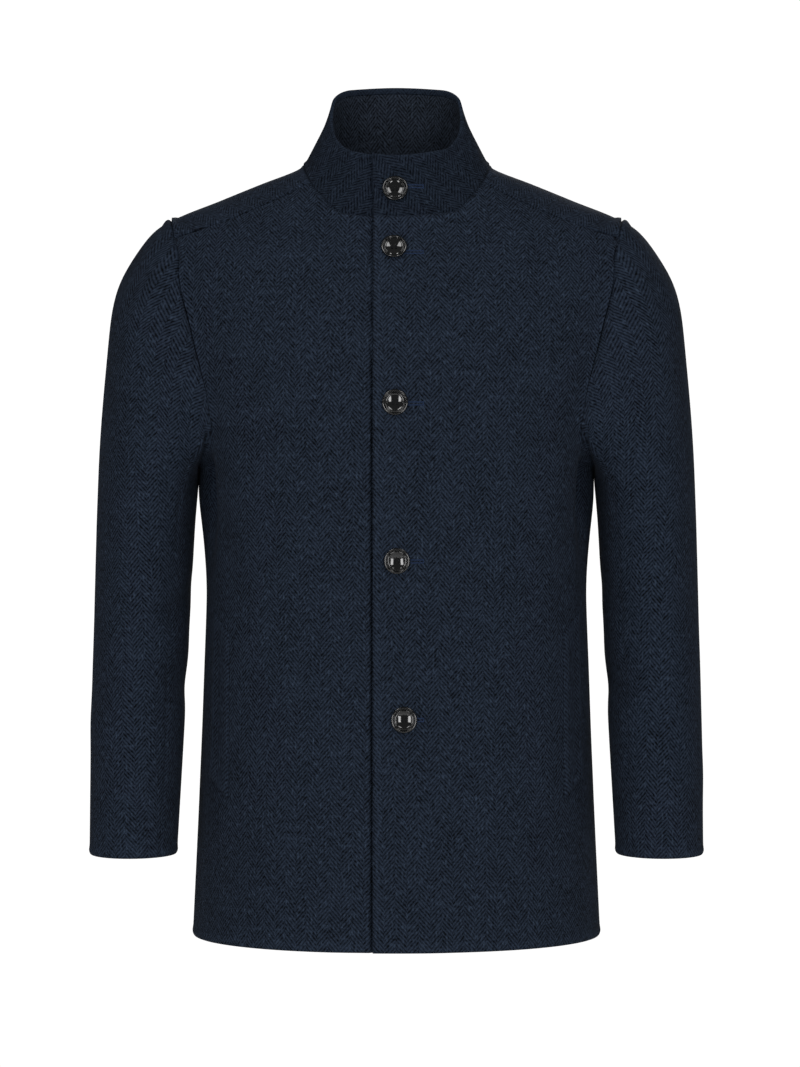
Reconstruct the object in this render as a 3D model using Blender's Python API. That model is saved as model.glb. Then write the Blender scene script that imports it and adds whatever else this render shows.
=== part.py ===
"""A stand-collar overcoat of heavy wool, in the shape it keeps when worn, with nobody in it.

Metres, +Z up. The front faces -Y and the wearer's left is +X. The origin is the middle of the
neck opening, level with the points where the shoulders meet the collar. Every piece of cloth is
a wall that follows one smooth form: rings round the body, and rings along each sleeve.
"""

import math

import bmesh
import bpy
import numpy as np
from mathutils import Vector

# Cloth and seams
WALL = 0.0026
SEAM_GAP = 0.0003

# Steps for measuring directions: height, degrees round a form, share of a sleeve's length
HEIGHT_STEP = 0.002
TURN_STEP = 0.46
STATION_STEP = 0.004

# Overlap of the fronts: half its width, how far each front leaves the form, and where that fades
LAP_HALF = 0.0225
LAP_SHIFT = 0.0020
LAP_FADE = 0.050

# Rings of the body, from the hem to the nape. Side is the depth of the widest point.
BODY_COLUMNS = ("height", "half_width", "front", "back", "side", "power")
BODY_ROWS = (
    (-0.7660, 0.2035, -0.158, 0.134, 0.004, 2.14),
    (-0.6200, 0.1965, -0.152, 0.130, 0.002, 2.22),
    (-0.4330, 0.1885, -0.142, 0.110, 0.000, 2.30),
    (-0.3330, 0.1960, -0.144, 0.118, 0.000, 2.30),
    (-0.2920, 0.1980, -0.144, 0.122, 0.001, 2.25),
    (-0.2400, 0.2090, -0.141, 0.125, 0.002, 2.20),
    (-0.1700, 0.2320, -0.129, 0.125, 0.004, 2.15),
    (-0.1000, 0.2520, -0.105, 0.114, 0.006, 2.00),
    (-0.0700, 0.2450, -0.090, 0.104, 0.007, 1.85),
    (-0.0538, 0.2255, -0.083, 0.098, 0.008, 1.70),
    (-0.0330, 0.1755, -0.074, 0.085, 0.006, 1.60),
    (-0.0170, 0.1355, -0.066, 0.077, 0.004, 1.60),
    (-0.0022, 0.0975, -0.060, 0.070, 0.002, 1.70),
    (0.0040, 0.0885, -0.058, 0.067, 0.000, 1.90),
    (0.0340, 0.0800, -0.055, 0.061, -0.004, 2.00),
)
HEM = BODY_ROWS[0][0]

# Seam between body and collar: its height at each angle round the neck, 0 in front, 180 behind.
# The rows past both ends mirror their neighbours, so that the seam runs level there.
NECK_COLUMNS = ("angle", "height")
NECK_ROWS = (
    (-17, -0.0534),
    (0, -0.0580),
    (17, -0.0534),
    (22, -0.0467),
    (30, -0.0340),
    (49, -0.0132),
    (70, -0.0030),
    (90, 0.0020),
    (132, 0.0220),
    (180, 0.0340),
    (228, 0.0220),
)

# Armhole: round turns from the shoulder end (0) past the chest to the armpit (180). The swings
# are how far the seam lies in front of and behind the side of the body, in degrees.
ARMHOLE_TOP = -0.0538
ARMHOLE_BOTTOM = -0.2920
ARMHOLE_COLUMNS = ("turn", "front_swing", "back_swing")
ARMHOLE_ROWS = (
    (0, 0.0, 0.0),
    (31, 25.5, 24.5),
    (54, 32.0, 30.5),
    (93, 31.5, 30.0),
    (133, 29.4, 27.5),
    (150, 23.0, 21.5),
    (168, 10.8, 10.0),
    (180, 0.0, 0.0),
)

# Shoulder seam, set forward: from the neck seam at SEAM_NECK_ANGLE to the armhole at SEAM_ARM_TURN
SEAM_NECK_ANGLE = 41.6
SEAM_ARM_TURN = 42.0
SHOULDER_COLUMNS = ("share", "angle", "height")
SHOULDER_ROWS = (
    (0.30, 44.7, -0.0422),
    (0.48, 46.6, -0.0528),
    (0.70, 54.5, -0.0663),
    (0.86, 63.5, -0.0752),
)

# Sleeve below the biceps: outer and inner edge across, front and back edge in depth
SLEEVE_COLUMNS = ("height", "outer", "inner", "front", "back")
SLEEVE_ROWS = (
    (-0.316, 0.2980, 0.1980, -0.078, 0.080),
    (-0.360, 0.2992, 0.2014, -0.079, 0.073),
    (-0.450, 0.3006, 0.2052, -0.084, 0.056),
    (-0.560, 0.3020, 0.2100, -0.096, 0.030),
    (-0.681, 0.3013, 0.2156, -0.108, -0.003),
)
BICEPS = SLEEVE_ROWS[0][0]
CUFF = SLEEVE_ROWS[-1][0]

# Sleeve head: how the cloth leaves the armhole at each turn. Lean is towards the outside of the
# armhole, and the two reaches are the pulls of the curve at the seam and at the biceps. Below the
# rows: how far round the top the rims meet flush, the roped ridge at the seam, and the fullness.
HEAD_COLUMNS = ("turn", "lean", "seam_reach", "biceps_reach")
HEAD_ROWS = (
    (0, -22, 0.0220, 0.232),
    (45, 2, 0.0250, 0.165),
    (90, 16, 0.0280, 0.090),
    (135, 40, 0.0160, 0.035),
    (180, 75, 0.0060, 0.010),
)
FLUSH_SPREAD = 2.0
ROPE_HEIGHT = 0.0035
ROPE_LENGTH = 0.13
FULLNESS = 0.0058
FULLNESS_AT = 0.60
FULLNESS_SPREAD = 0.15

# Soft breaks in the sleeve at the elbow: where, how wide and how deep, and how they slope
BREAK_COLUMNS = ("turn", "height", "half_turn", "half_height", "slope", "depth")
BREAK_ROWS = (
    (120, -0.455, 55, 0.016, 0.030, 0.0040),
    (135, -0.500, 60, 0.018, -0.020, 0.0045),
    (110, -0.545, 45, 0.015, 0.025, 0.0030),
    (250, -0.430, 50, 0.020, 0.020, 0.0030),
)

# Top edge of the collar: half width, front and back depth, and its height at each angle
COLLAR_HALF_WIDTH = 0.0658
COLLAR_FRONT = -0.068
COLLAR_BACK = 0.055
COLLAR_TURN_IN_FRONT = 12.6
COLLAR_COLUMNS = ("angle", "height")
COLLAR_ROWS = (
    (-45, 0.0120),
    (0, 0.0040),
    (45, 0.0120),
    (66, 0.0260),
    (90, 0.0530),
    (107, 0.0712),
    (135, 0.0822),
    (180, 0.0867),
    (225, 0.0822),
)
COLLAR_MIDDLE = 0.5
COLLAR_OUTER_WALL = 0.0020
COLLAR_INNER_WALL = 0.0014
COLLAR_FOOT_RISE = 0.0008
COLLAR_INNER_RISE = 0.0012
COLLAR_LIP = 0.0060
COLLAR_ROUND = 0.0010

# Facing inside the back of the neck, and how far its top edge stays under the neck seam
FACING_DROP = 0.0020
FACING_LIFT = 0.0006
FACING_WALL = 0.0014

# Pocket welts: front edge from the centre front, height of its two ends, width round the body
WELT_FRONT_EDGE = 0.1626
WELT_TOP = -0.463
WELT_BOTTOM = -0.624
WELT_TURN = 13.2
WELT_SLANT = 0.021
WELT_LIFT = 0.0005
WELT_WALL = 0.0020

# Buttons: place across and in height, and the turned profile of one, from its axis out
BUTTON_PLACES = (
    (-0.0012, -0.0305),
    (-0.0023, -0.0904),
    (-0.0013, -0.2414),
    (0.0006, -0.3926),
    (0.0073, -0.5445),
)
BUTTON_PROFILE = (
    (0.0100, 0.0000),
    (0.0121, 0.0008),
    (0.0125, 0.0022),
    (0.0117, 0.0034),
    (0.0102, 0.0034),
    (0.0088, 0.0022),
)
BUTTON_DISH = 0.0018
BUTTON_SIDES = 20

# Steps of the meshes
NECK_FRONT_STEPS = 6
NECK_BACK_STEPS = 9
SHOULDER_STEPS = 5
ARM_FRONT_STEPS = 12
ARM_BACK_STEPS = 19
ARM_SIDE_STEPS = 4
LOWER_STEPS = 10
HEAD_STEPS = 8
ARM_STEPS = 14
FORE_SEAM_STEP = 8
HIND_SEAM_STEP = 17
FACING_STEPS = (5, 4)
WELT_STEPS = (4, 8)
CURVE_SAMPLES = 400
EVENING_ROUNDS = 400
LENGTH_PER_DEGREE = 0.0030

# Colours: linear red, green, blue, then roughness
CLOTH = ("navy_wool", (0.0123, 0.0185, 0.0284), 0.92)
CLOTH_INSIDE = ("navy_wool_inside", (0.0090, 0.0125, 0.0185), 0.92)
HORN = ("black_button", (0.0050, 0.0050, 0.0055), 0.18)


def smooth(keys, values):
    """A smooth function through rows that rises and falls only where they do."""
    order = np.argsort(keys)
    keys = np.asarray(keys, float)[order]
    values = np.asarray(values, float)[order]
    spans = np.diff(keys)
    rises = np.diff(values) / spans
    slopes = np.concatenate((rises[:1], np.zeros(len(keys) - 2), rises[-1:]))
    turns = rises[:-1] * rises[1:] > 0
    total = np.where(turns, rises[:-1] + rises[1:], 1.0)
    slopes[1:-1] = np.where(turns, 2 * rises[:-1] * rises[1:] / total, 0.0)

    def at(key):
        key = np.clip(key, keys[0], keys[-1])
        row = np.clip(np.searchsorted(keys, key) - 1, 0, len(spans) - 1)
        t = (key - keys[row]) / spans[row]
        start = (1 + 2 * t) * (1 - t) ** 2 * values[row] + t * (1 - t) ** 2 * spans[row] * slopes[row]
        end = t**2 * (3 - 2 * t) * values[row + 1] + t**2 * (t - 1) * spans[row] * slopes[row + 1]
        return start + end

    return at


def smooth_columns(names, rows):
    """One smooth function of the first column for each of the others."""
    columns = list(zip(*rows))
    return {name: smooth(columns[0], column) for name, column in zip(names[1:], columns[1:])}


BODY = smooth_columns(BODY_COLUMNS, BODY_ROWS)
NECK = smooth_columns(NECK_COLUMNS, NECK_ROWS)
ARMHOLE = smooth_columns(ARMHOLE_COLUMNS, ARMHOLE_ROWS)
SLEEVE = smooth_columns(SLEEVE_COLUMNS, SLEEVE_ROWS)
HEAD = smooth_columns(HEAD_COLUMNS, HEAD_ROWS)
COLLAR = smooth_columns(COLLAR_COLUMNS, COLLAR_ROWS)


def fade(value):
    """0 below 0, 1 above 1, and smooth between."""
    t = np.clip(value, 0.0, 1.0)
    return t * t * (3 - 2 * t)


def unit(vectors):
    """The vectors at length 1."""
    return vectors / np.linalg.norm(vectors, axis=-1, keepdims=True)


def form(place):
    """The body's outer surface at (angle round it in degrees, height)."""
    angle, height = place[..., 0], place[..., 1]
    turn = np.radians(angle)
    across, ahead = np.sin(turn), np.cos(turn)
    bend = 2 / BODY["power"](height)
    side = BODY["side"](height)
    depth = np.where(ahead > 0, side - BODY["front"](height), BODY["back"](height) - side)
    x = BODY["half_width"](height) * np.sign(across) * np.abs(across) ** bend
    y = side - depth * np.sign(ahead) * np.abs(ahead) ** bend
    return np.stack((x, y, height), axis=-1)


def form_normal(place):
    """The direction straight out of the body's form."""
    turn_step = np.array((TURN_STEP, 0.0))
    height_step = np.array((0.0, HEIGHT_STEP))
    round_body = form(place + turn_step) - form(place - turn_step)
    upward = form(place + height_step) - form(place - height_step)
    return unit(np.cross(round_body, upward))


def lap(x, side):
    """How far the fronts and the collar's ends leave the form near the centre front."""
    return side * LAP_SHIFT * (1 - fade((x - LAP_HALF) / LAP_FADE))


def angle_across(x, height):
    """The angle round the front of the form at a distance across."""
    share = abs(x) / BODY["half_width"](height)
    return np.sign(x) * np.degrees(np.arcsin(share ** (BODY["power"](height) / 2)))


def even_steps(places, steps, surface=form):
    """Places along a curve at even lengths on the surface."""
    points = surface(places)
    lengths = np.concatenate(((0,), np.cumsum(np.linalg.norm(np.diff(points, axis=0), axis=1))))
    wanted = np.linspace(0, lengths[-1], steps + 1)
    return np.stack([np.interp(wanted, lengths, column) for column in places.T], axis=-1)


def neck_places(first, last, steps):
    """Even steps along the neck seam between two angles."""
    angles = np.linspace(first, last, CURVE_SAMPLES)
    return even_steps(np.stack((angles, NECK["height"](np.abs(angles))), axis=-1), steps)


def folded_turn(turns):
    """Turns counted from the shoulder end down, in front of the arm or behind it."""
    return np.where(turns > 360, turns - 360, np.where(turns > 180, 360 - turns, turns))


def armhole_places(turns):
    """Places on the armhole. A turn past 180 is behind the arm, past 360 in front again."""
    turns = np.asarray(turns, float)
    folded = folded_turn(turns)
    behind = (turns > 180) & (turns <= 360)
    swing = np.where(behind, -ARMHOLE["back_swing"](folded), ARMHOLE["front_swing"](folded))
    middle = (ARMHOLE_TOP + ARMHOLE_BOTTOM) / 2
    height = middle + (ARMHOLE_TOP - middle) * np.cos(np.radians(folded))
    return np.stack((90 - swing, height), axis=-1)


ARM_FRONT_TURNS = np.linspace(SEAM_ARM_TURN, 180, ARM_FRONT_STEPS + 1)
ARM_BACK_TURNS = np.linspace(180, 360 + SEAM_ARM_TURN, ARM_BACK_STEPS + 1)
ARM_TURNS = np.concatenate((ARM_FRONT_TURNS, ARM_BACK_TURNS[1:-1]))


def shoulder_places():
    """Even steps along the shoulder seam, from the neck to the armhole."""
    neck_end = (0.0, SEAM_NECK_ANGLE, float(NECK["height"](SEAM_NECK_ANGLE)))
    arm_end = (1.0, *armhole_places([SEAM_ARM_TURN])[0])
    seam = smooth_columns(SHOULDER_COLUMNS, (neck_end, *SHOULDER_ROWS, arm_end))
    share = np.linspace(0, 1, CURVE_SAMPLES)
    return even_steps(np.stack((seam["angle"](share), seam["height"](share)), axis=-1), SHOULDER_STEPS)


def patch(low, high, first, last):
    """A grid of places between four edges that share their corners."""
    across = np.linspace(0, 1, len(low))[:, None, None]
    up = np.linspace(0, 1, len(first))[None, :, None]
    ruled = (1 - up) * low[:, None] + up * high[:, None]
    ruled = ruled + (1 - across) * first[None] + across * last[None]
    corners = (1 - up) * ((1 - across) * low[0] + across * low[-1])
    return ruled - corners - up * ((1 - across) * high[0] + across * high[-1])


def evened(grid):
    """A grid of places with its inner lines moved until they neither cross nor bunch up."""
    scale = np.array((LENGTH_PER_DEGREE, 1.0))
    grid = grid * scale
    for _ in range(EVENING_ROUNDS):
        before, after = grid[:-2, 1:-1], grid[2:, 1:-1]
        below, above = grid[1:-1, :-2], grid[1:-1, 2:]
        crosswise = (grid[2:, 2:] - grid[2:, :-2] - grid[:-2, 2:] + grid[:-2, :-2]) / 4
        across, up = (after - before) / 2, (above - below) / 2
        wide = np.sum(across**2, axis=-1, keepdims=True)
        high = np.sum(up**2, axis=-1, keepdims=True)
        skew = np.sum(across * up, axis=-1, keepdims=True)
        pulls = high * (before + after) + wide * (below + above) - 2 * skew * crosswise
        grid[1:-1, 1:-1] = pulls / (2 * (wide + high))
    return grid / scale


def panel_grids(edge, top, arm_upper, arm_lower):
    """Two grids of places for half a body panel: hem to armpit, and from there to the shoulder.

    Edge gives the angle of the panel's first edge at a height, top runs from that edge to the
    armhole, arm_upper up the armhole to the top's end, and arm_lower from its start to the armpit.
    """
    corner = arm_upper[0]
    upper_columns = len(top) - 1
    chest_start = np.array((edge(corner[1]), corner[1]))
    chest = even_steps(np.linspace(chest_start, corner, CURVE_SAMPLES), upper_columns)
    chest_line = np.concatenate((chest, arm_lower[1:]))
    hem_start = np.array((edge(HEM), HEM))
    hem_end = np.array((arm_lower[-1][0], HEM))
    hem = even_steps(np.linspace(hem_start, hem_end, CURVE_SAMPLES), len(chest_line) - 1)
    lower_heights = np.linspace(HEM, corner[1], LOWER_STEPS + 1)
    lower_edge = np.stack(([edge(h) for h in lower_heights], lower_heights), axis=-1)
    side_seam = np.linspace(hem_end, arm_lower[-1], LOWER_STEPS + 1)
    upper_heights = np.linspace(corner[1], top[0][1], len(arm_upper))
    upper_edge = np.stack(([edge(h) for h in upper_heights], upper_heights), axis=-1)
    lower = patch(hem, chest_line, lower_edge, side_seam)
    return lower, evened(patch(chest, top, upper_edge, arm_upper))


class Sheet:
    """Points of a piece of cloth with their outward directions, and the quads between them."""

    def __init__(self):
        self.points = []
        self.normals = []
        self.quads = []

    def add_grid(self, points, normals, first_row=None):
        """Add a grid and return its indices. A first row that is there already is shared."""
        wide, high = points.shape[:2]
        index = np.full((wide, high), -1)
        start = 0
        if first_row is not None:
            index[:, 0] = first_row
            start = 1
        for column in range(wide):
            for row in range(start, high):
                index[column, row] = len(self.points)
                self.points.append(np.array(points[column, row]))
                self.normals.append(np.array(normals[column, row]))
        for column in range(wide - 1):
            for row in range(high - 1):
                self.quads.append(
                    (
                        index[column, row],
                        index[column + 1, row],
                        index[column + 1, row + 1],
                        index[column, row + 1],
                    )
                )
        return index

    def draw_back(self, edge, beside, distance=SEAM_GAP / 2):
        """Move an edge along the cloth towards the points beside it, by half a seam gap."""
        for point, neighbour in zip(edge, beside):
            step = self.points[neighbour] - self.points[point]
            self.points[point] += step / np.linalg.norm(step) * distance

    def mirrored(self):
        """The same sheet on the other side of the body."""
        other = Sheet()
        flip = np.array((-1.0, 1.0, 1.0))
        other.points = [point * flip for point in self.points]
        other.normals = [normal * flip for normal in self.normals]
        other.quads = [quad[::-1] for quad in self.quads]
        return other

    def joined(self, other, shared, shared_other):
        """Both sheets as one, with the other's shared points taken from this one."""
        both = Sheet()
        known = dict(zip(shared_other, shared))
        both.points = list(self.points)
        both.normals = list(self.normals)
        for index, (point, normal) in enumerate(zip(other.points, other.normals)):
            if index not in known:
                known[index] = len(both.points)
                both.points.append(point)
                both.normals.append(normal)
        both.quads = self.quads + [tuple(known[i] for i in quad) for quad in other.quads]
        return both


def material_for(finish):
    """The material of a finish, made once."""
    name, colour, roughness = finish
    if name in bpy.data.materials:
        return bpy.data.materials[name]
    material = bpy.data.materials.new(name)
    material.use_nodes = True
    shader = material.node_tree.nodes["Principled BSDF"]
    shader.inputs["Base Color"].default_value = (*colour, 1.0)
    shader.inputs["Roughness"].default_value = roughness
    shader.inputs["Metallic"].default_value = 0.0
    return material


def add_object(name, points, faces, finish):
    """An object from points and faces, closed and facing out."""
    mesh = bpy.data.meshes.new(name)
    mesh.from_pydata([tuple(map(float, p)) for p in points], [], [tuple(map(int, f)) for f in faces])
    shape = bmesh.new()
    shape.from_mesh(mesh)
    bmesh.ops.recalc_face_normals(shape, faces=shape.faces)
    shape.to_mesh(mesh)
    shape.free()
    mesh.shade_smooth()
    mesh.materials.append(material_for(finish))
    piece = bpy.data.objects.new(name, mesh)
    bpy.context.scene.collection.objects.link(piece)
    return piece


def add_cloth(name, sheet, wall, finish=CLOTH):
    """A sheet made into a wall: its points outside, the same moved in, and rims round its edges.

    The rims are split from the lower outside corner, so that those on both sides of a seam match.
    """
    count = len(sheet.points)
    inside = [point - normal * wall for point, normal in zip(sheet.points, sheet.normals)]
    sides = {(quad[k], quad[(k + 1) % 4]) for quad in sheet.quads for k in range(4)}
    outer = [corners for a, b, c, d in sheet.quads for corners in ((a, b, c), (a, c, d))]
    inner = [(c + count, b + count, a + count) for a, b, c in outer]
    rims = []
    for a, b in sorted(sides):
        if (b, a) in sides:
            continue
        if sheet.points[a][2] < sheet.points[b][2]:
            rims += [(b, a, b + count), (a, a + count, b + count)]
        else:
            rims += [(b, a, a + count), (b, a + count, b + count)]
    return add_object(name, sheet.points + inside, outer + inner + rims, finish)


def sleeve_ring(turn, height):
    """A ring of the sleeve below the biceps. Turn 0 is outside, 90 in front, 180 at the body."""
    round_arm = np.radians(turn)
    outer, inner = SLEEVE["outer"](height), SLEEVE["inner"](height)
    front, back = SLEEVE["front"](height), SLEEVE["back"](height)
    x = (outer + inner) / 2 + (outer - inner) / 2 * np.cos(round_arm)
    y = (front + back) / 2 - (back - front) / 2 * np.sin(round_arm)
    return np.stack(np.broadcast_arrays(x, y, height), axis=-1)


def sleeve_breaks(turn, height):
    """How far the elbow's soft breaks press the sleeve in."""
    pressed = 0.0
    for row in BREAK_ROWS:
        at = dict(zip(BREAK_COLUMNS, row))
        away = (turn - at["turn"]) / at["half_turn"]
        middle = at["height"] + at["slope"] * away
        along = (height - middle) / at["half_height"]
        pressed = pressed + at["depth"] * np.exp(-(away**2) - along**2)
    return pressed


def sleeve_head(turn, share):
    """The sleeve between the armhole (share 0) and the biceps (share 1)."""
    folded = folded_turn(turn)
    round_arm = np.radians(turn)
    forward, above = np.sin(round_arm), np.cos(round_arm)
    seam = form(armhole_places(turn))
    biceps = sleeve_ring(turn, np.full_like(turn, BICEPS))
    lower = sleeve_ring(turn, np.full_like(turn, BICEPS - HEIGHT_STEP))
    upward = unit(biceps - lower)
    lean = np.radians(HEAD["lean"](folded))
    outward = np.stack((np.cos(lean), -np.sin(lean) * forward, np.sin(lean) * above), axis=-1)
    leaving = seam + outward * HEAD["seam_reach"](folded)[..., None]
    arriving = biceps + upward * HEAD["biceps_reach"](folded)[..., None]
    t = share[..., None]
    start = (1 - t) ** 3 * seam + 3 * (1 - t) ** 2 * t * leaving
    point = start + 3 * (1 - t) * t**2 * arriving + t**3 * biceps
    swell = np.exp(-(((share - FULLNESS_AT) / FULLNESS_SPREAD) ** 2))
    ridge = np.sin(np.pi * np.clip(share / ROPE_LENGTH, 0, 1))
    point[..., 0] += FULLNESS * fade(above) * swell
    point[..., 2] += ROPE_HEIGHT * fade(above) * ridge
    return point


def sleeve(turn, station):
    """The sleeve's outer surface. Station 0 is the armhole, 1 the biceps and 2 the cuff."""
    turn, station = np.broadcast_arrays(np.asarray(turn, float), np.asarray(station, float))
    head = sleeve_head(turn, np.clip(station, 0, 1))
    height = BICEPS + (CUFF - BICEPS) * np.clip(station - 1, 0, 1)
    arm = sleeve_ring(turn, height)
    middle = sleeve_ring(turn, height) + sleeve_ring(turn + 180, height)
    inward = unit(middle / 2 - arm)
    around = np.mod(turn, 360)
    arm = arm + inward * sleeve_breaks(around, height)[..., None]
    return np.where((station <= 1)[..., None], head, arm)


def sleeve_normal(turn, station):
    """The direction straight out of the sleeve."""
    turn, station = np.broadcast_arrays(np.asarray(turn, float), np.asarray(station, float))
    low, high = np.clip(station - STATION_STEP, 0, 2), np.clip(station + STATION_STEP, 0, 2)
    along = sleeve(turn, high) - sleeve(turn, low)
    around = sleeve(turn + TURN_STEP, station) - sleeve(turn - TURN_STEP, station)
    return unit(np.cross(around, along))


def armhole_normal(turn, own):
    """Over the shoulder, body and sleeve share one direction, so that their rims meet flush."""
    shared = unit(form_normal(armhole_places(turn)) + sleeve_normal(turn, 0.0))
    weight = fade(np.cos(np.radians(turn)) * FLUSH_SPREAD)[..., None]
    return unit(weight * shared + (1 - weight) * own)


def half_panel(lower, upper, arm_turns, side):
    """Half a body panel as a sheet, with its seams drawn back, and the indices of both grids."""
    sheet = Sheet()
    grids = []
    first_row = None
    for places, arm in ((lower, None), (upper, arm_turns)):
        normals = form_normal(places)
        points = form(places)
        points = points + normals * lap(points[..., :1], side)
        if arm is not None:
            normals[-1] = armhole_normal(arm, normals[-1])
        index = sheet.add_grid(points, normals, first_row)
        grids.append(index)
        first_row = index[: upper.shape[0], -1]
    low, high = grids
    columns = upper.shape[0] - 1
    sheet.draw_back(low[-1], low[-2])
    sheet.draw_back(low[columns:, -1], low[columns:, -2])
    sheet.draw_back(high[-1, 1:], high[-2, 1:])
    sheet.draw_back(high[:, -1], high[:, -2])
    return sheet, low, high


def front_half(side):
    """A front, built on the wearer's left. Side is 1 on top of the overlap and -1 under it."""
    corner = ARM_FRONT_STEPS - ARM_SIDE_STEPS
    upper_turns = ARM_FRONT_TURNS[: corner + 1][::-1]
    lower_turns = ARM_FRONT_TURNS[corner:]
    edge_angle = float(angle_across(-LAP_HALF, float(NECK["height"](0))))
    neck = neck_places(edge_angle, SEAM_NECK_ANGLE, NECK_FRONT_STEPS)
    top = np.concatenate((neck, shoulder_places()[1:]))
    lower, upper = panel_grids(
        lambda height: float(angle_across(-LAP_HALF, height)),
        top,
        armhole_places(upper_turns),
        armhole_places(lower_turns),
    )
    return half_panel(lower, upper, upper_turns, side)[0]


def back_half():
    """The wearer's left half of the back, and the indices of its two grids."""
    corner = ARM_SIDE_STEPS
    upper_turns = ARM_BACK_TURNS[corner:]
    lower_turns = ARM_BACK_TURNS[: corner + 1][::-1]
    neck = neck_places(180, SEAM_NECK_ANGLE, NECK_BACK_STEPS)
    top = np.concatenate((neck, shoulder_places()[1:]))
    lower, upper = panel_grids(
        lambda height: 180.0,
        top,
        armhole_places(upper_turns),
        armhole_places(lower_turns),
    )
    return half_panel(lower, upper, upper_turns, 0)


def back_sheet():
    """The back, from both halves joined along its middle."""
    half, low, high = back_half()
    middle = [*low[0], *high[0, 1:]]
    return half.joined(half.mirrored(), middle, middle)


def sleeve_sheets():
    """The top and under pieces of the left sleeve."""
    stations = np.concatenate((np.linspace(0, 1, HEAD_STEPS + 1), np.linspace(1, 2, ARM_STEPS + 1)[1:]))
    under = ARM_TURNS[FORE_SEAM_STEP : HIND_SEAM_STEP + 1]
    over = np.concatenate((ARM_TURNS[HIND_SEAM_STEP:], ARM_TURNS[: FORE_SEAM_STEP + 1] + 360))
    sheets = []
    for turns in (over, under):
        columns, rows = np.meshgrid(turns, stations, indexing="ij")
        columns = np.where(columns > 360 + SEAM_ARM_TURN, columns - 360, columns)
        normals = sleeve_normal(columns, rows)
        normals[:, 0] = armhole_normal(columns[:, 0], normals[:, 0])
        sheet = Sheet()
        index = sheet.add_grid(sleeve(columns, rows), normals)
        sheet.draw_back(index[:, 0], index[:, 1])
        sheet.draw_back(index[0], index[1])
        sheet.draw_back(index[-1], index[-2])
        sheets.append(sheet)
    return sheets


def collar_angles():
    """Angles round the neck seam, from the end of the collar on top to the end under it."""
    edge_angle = float(angle_across(-LAP_HALF, float(NECK["height"](0))))
    front = neck_places(edge_angle, SEAM_NECK_ANGLE, NECK_FRONT_STEPS)[:, 0]
    back = neck_places(SEAM_NECK_ANGLE, 180, NECK_BACK_STEPS)[:, 0]
    left = np.concatenate((front, back[1:]))
    return np.concatenate((left, 360 - left[-2::-1]))


def collar_point(angle, share):
    """The collar's outer surface: share 0 on the neck seam, 1 at the top edge."""
    folded = np.where(angle > 180, 360 - angle, angle)
    place = np.stack((angle, NECK["height"](np.abs(folded))), axis=-1)
    base = form(place)
    plan = np.degrees(np.arctan2(base[..., 0], -base[..., 1]))
    plan = plan + COLLAR_TURN_IN_FRONT * np.sin(2 * np.radians(plan))
    turn = np.radians(plan)
    middle = (COLLAR_FRONT + COLLAR_BACK) / 2
    depth = (COLLAR_BACK - COLLAR_FRONT) / 2
    x = COLLAR_HALF_WIDTH * np.sin(turn)
    y = middle - depth * np.cos(turn)
    top = np.stack((x, y, COLLAR["height"](np.abs(plan))), axis=-1)
    share = np.asarray(share)[..., None]
    return base + (top - base) * share


def collar_section(angle):
    """Base, direction up, direction out and height of the collar at an angle."""
    base, top = collar_point(angle, 0.0), collar_point(angle, 1.0)
    before, after = angle - TURN_STEP, angle + TURN_STEP
    along = collar_point(after, COLLAR_MIDDLE) - collar_point(before, COLLAR_MIDDLE)
    height = np.linalg.norm(top - base)
    upward = (top - base) / height
    outward = unit(np.cross(along, upward))
    side = 1 if angle < 180 else -1
    shift = lap(side * base[0], side) if base[1] < 0 else 0.0
    return base + outward * shift, upward, outward, height


def collar_leaf(name, outline, ends, finish):
    """A collar leaf: its cross-section, in heights and depths, carried round the neck.

    Ends are the faces that close the cross-section. The walls are split from the lower corner, so
    that those of both leaves match.
    """
    points = []
    faces = []
    angles = collar_angles()
    for angle in angles:
        base, upward, outward, height = collar_section(angle)
        section = outline(height)
        points += [base + upward * up - outward * inside for up, inside in section]
    sides = len(points) // len(angles)
    for first in range(0, len(points) - sides, sides):
        last = first + sides
        for k in range(sides):
            after = (k + 1) % sides
            if section[k][0] < section[after][0]:
                faces.append((first + k, last + k, last + after))
                faces.append((first + k, last + after, first + after))
            else:
                faces.append((first + k, last + k, first + after))
                faces.append((last + k, last + after, first + after))
    for face in ends:
        faces.append(face)
        faces.append(tuple(len(points) - sides + k for k in face[::-1]))
    return add_object(name, points, faces, finish)


COLLAR_DEPTH = COLLAR_OUTER_WALL + SEAM_GAP + COLLAR_INNER_WALL
COLLAR_OUTER_ENDS = ((0, 1, 6, 7), (1, 2, 3, 4, 5, 6))
COLLAR_INNER_ENDS = ((0, 1, 2, 3),)


def collar_outer_outline(height):
    """Up the outside, over a rounded top edge, and down inside as far as the lip."""
    return (
        (SEAM_GAP, 0.0),
        (height - COLLAR_ROUND, 0.0),
        (height, COLLAR_ROUND),
        (height, COLLAR_DEPTH - COLLAR_ROUND),
        (height - COLLAR_ROUND, COLLAR_DEPTH),
        (height - COLLAR_LIP, COLLAR_DEPTH),
        (height - COLLAR_LIP, COLLAR_OUTER_WALL),
        (COLLAR_FOOT_RISE, COLLAR_OUTER_WALL),
    )


def collar_inner_outline(height):
    """The inner leaf, behind the outer one and up to its lip."""
    top = height - COLLAR_LIP - 2 * SEAM_GAP
    return (
        (COLLAR_INNER_RISE, COLLAR_OUTER_WALL + SEAM_GAP),
        (top, COLLAR_OUTER_WALL + SEAM_GAP),
        (top, COLLAR_DEPTH),
        (COLLAR_INNER_RISE, COLLAR_DEPTH),
    )


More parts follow.
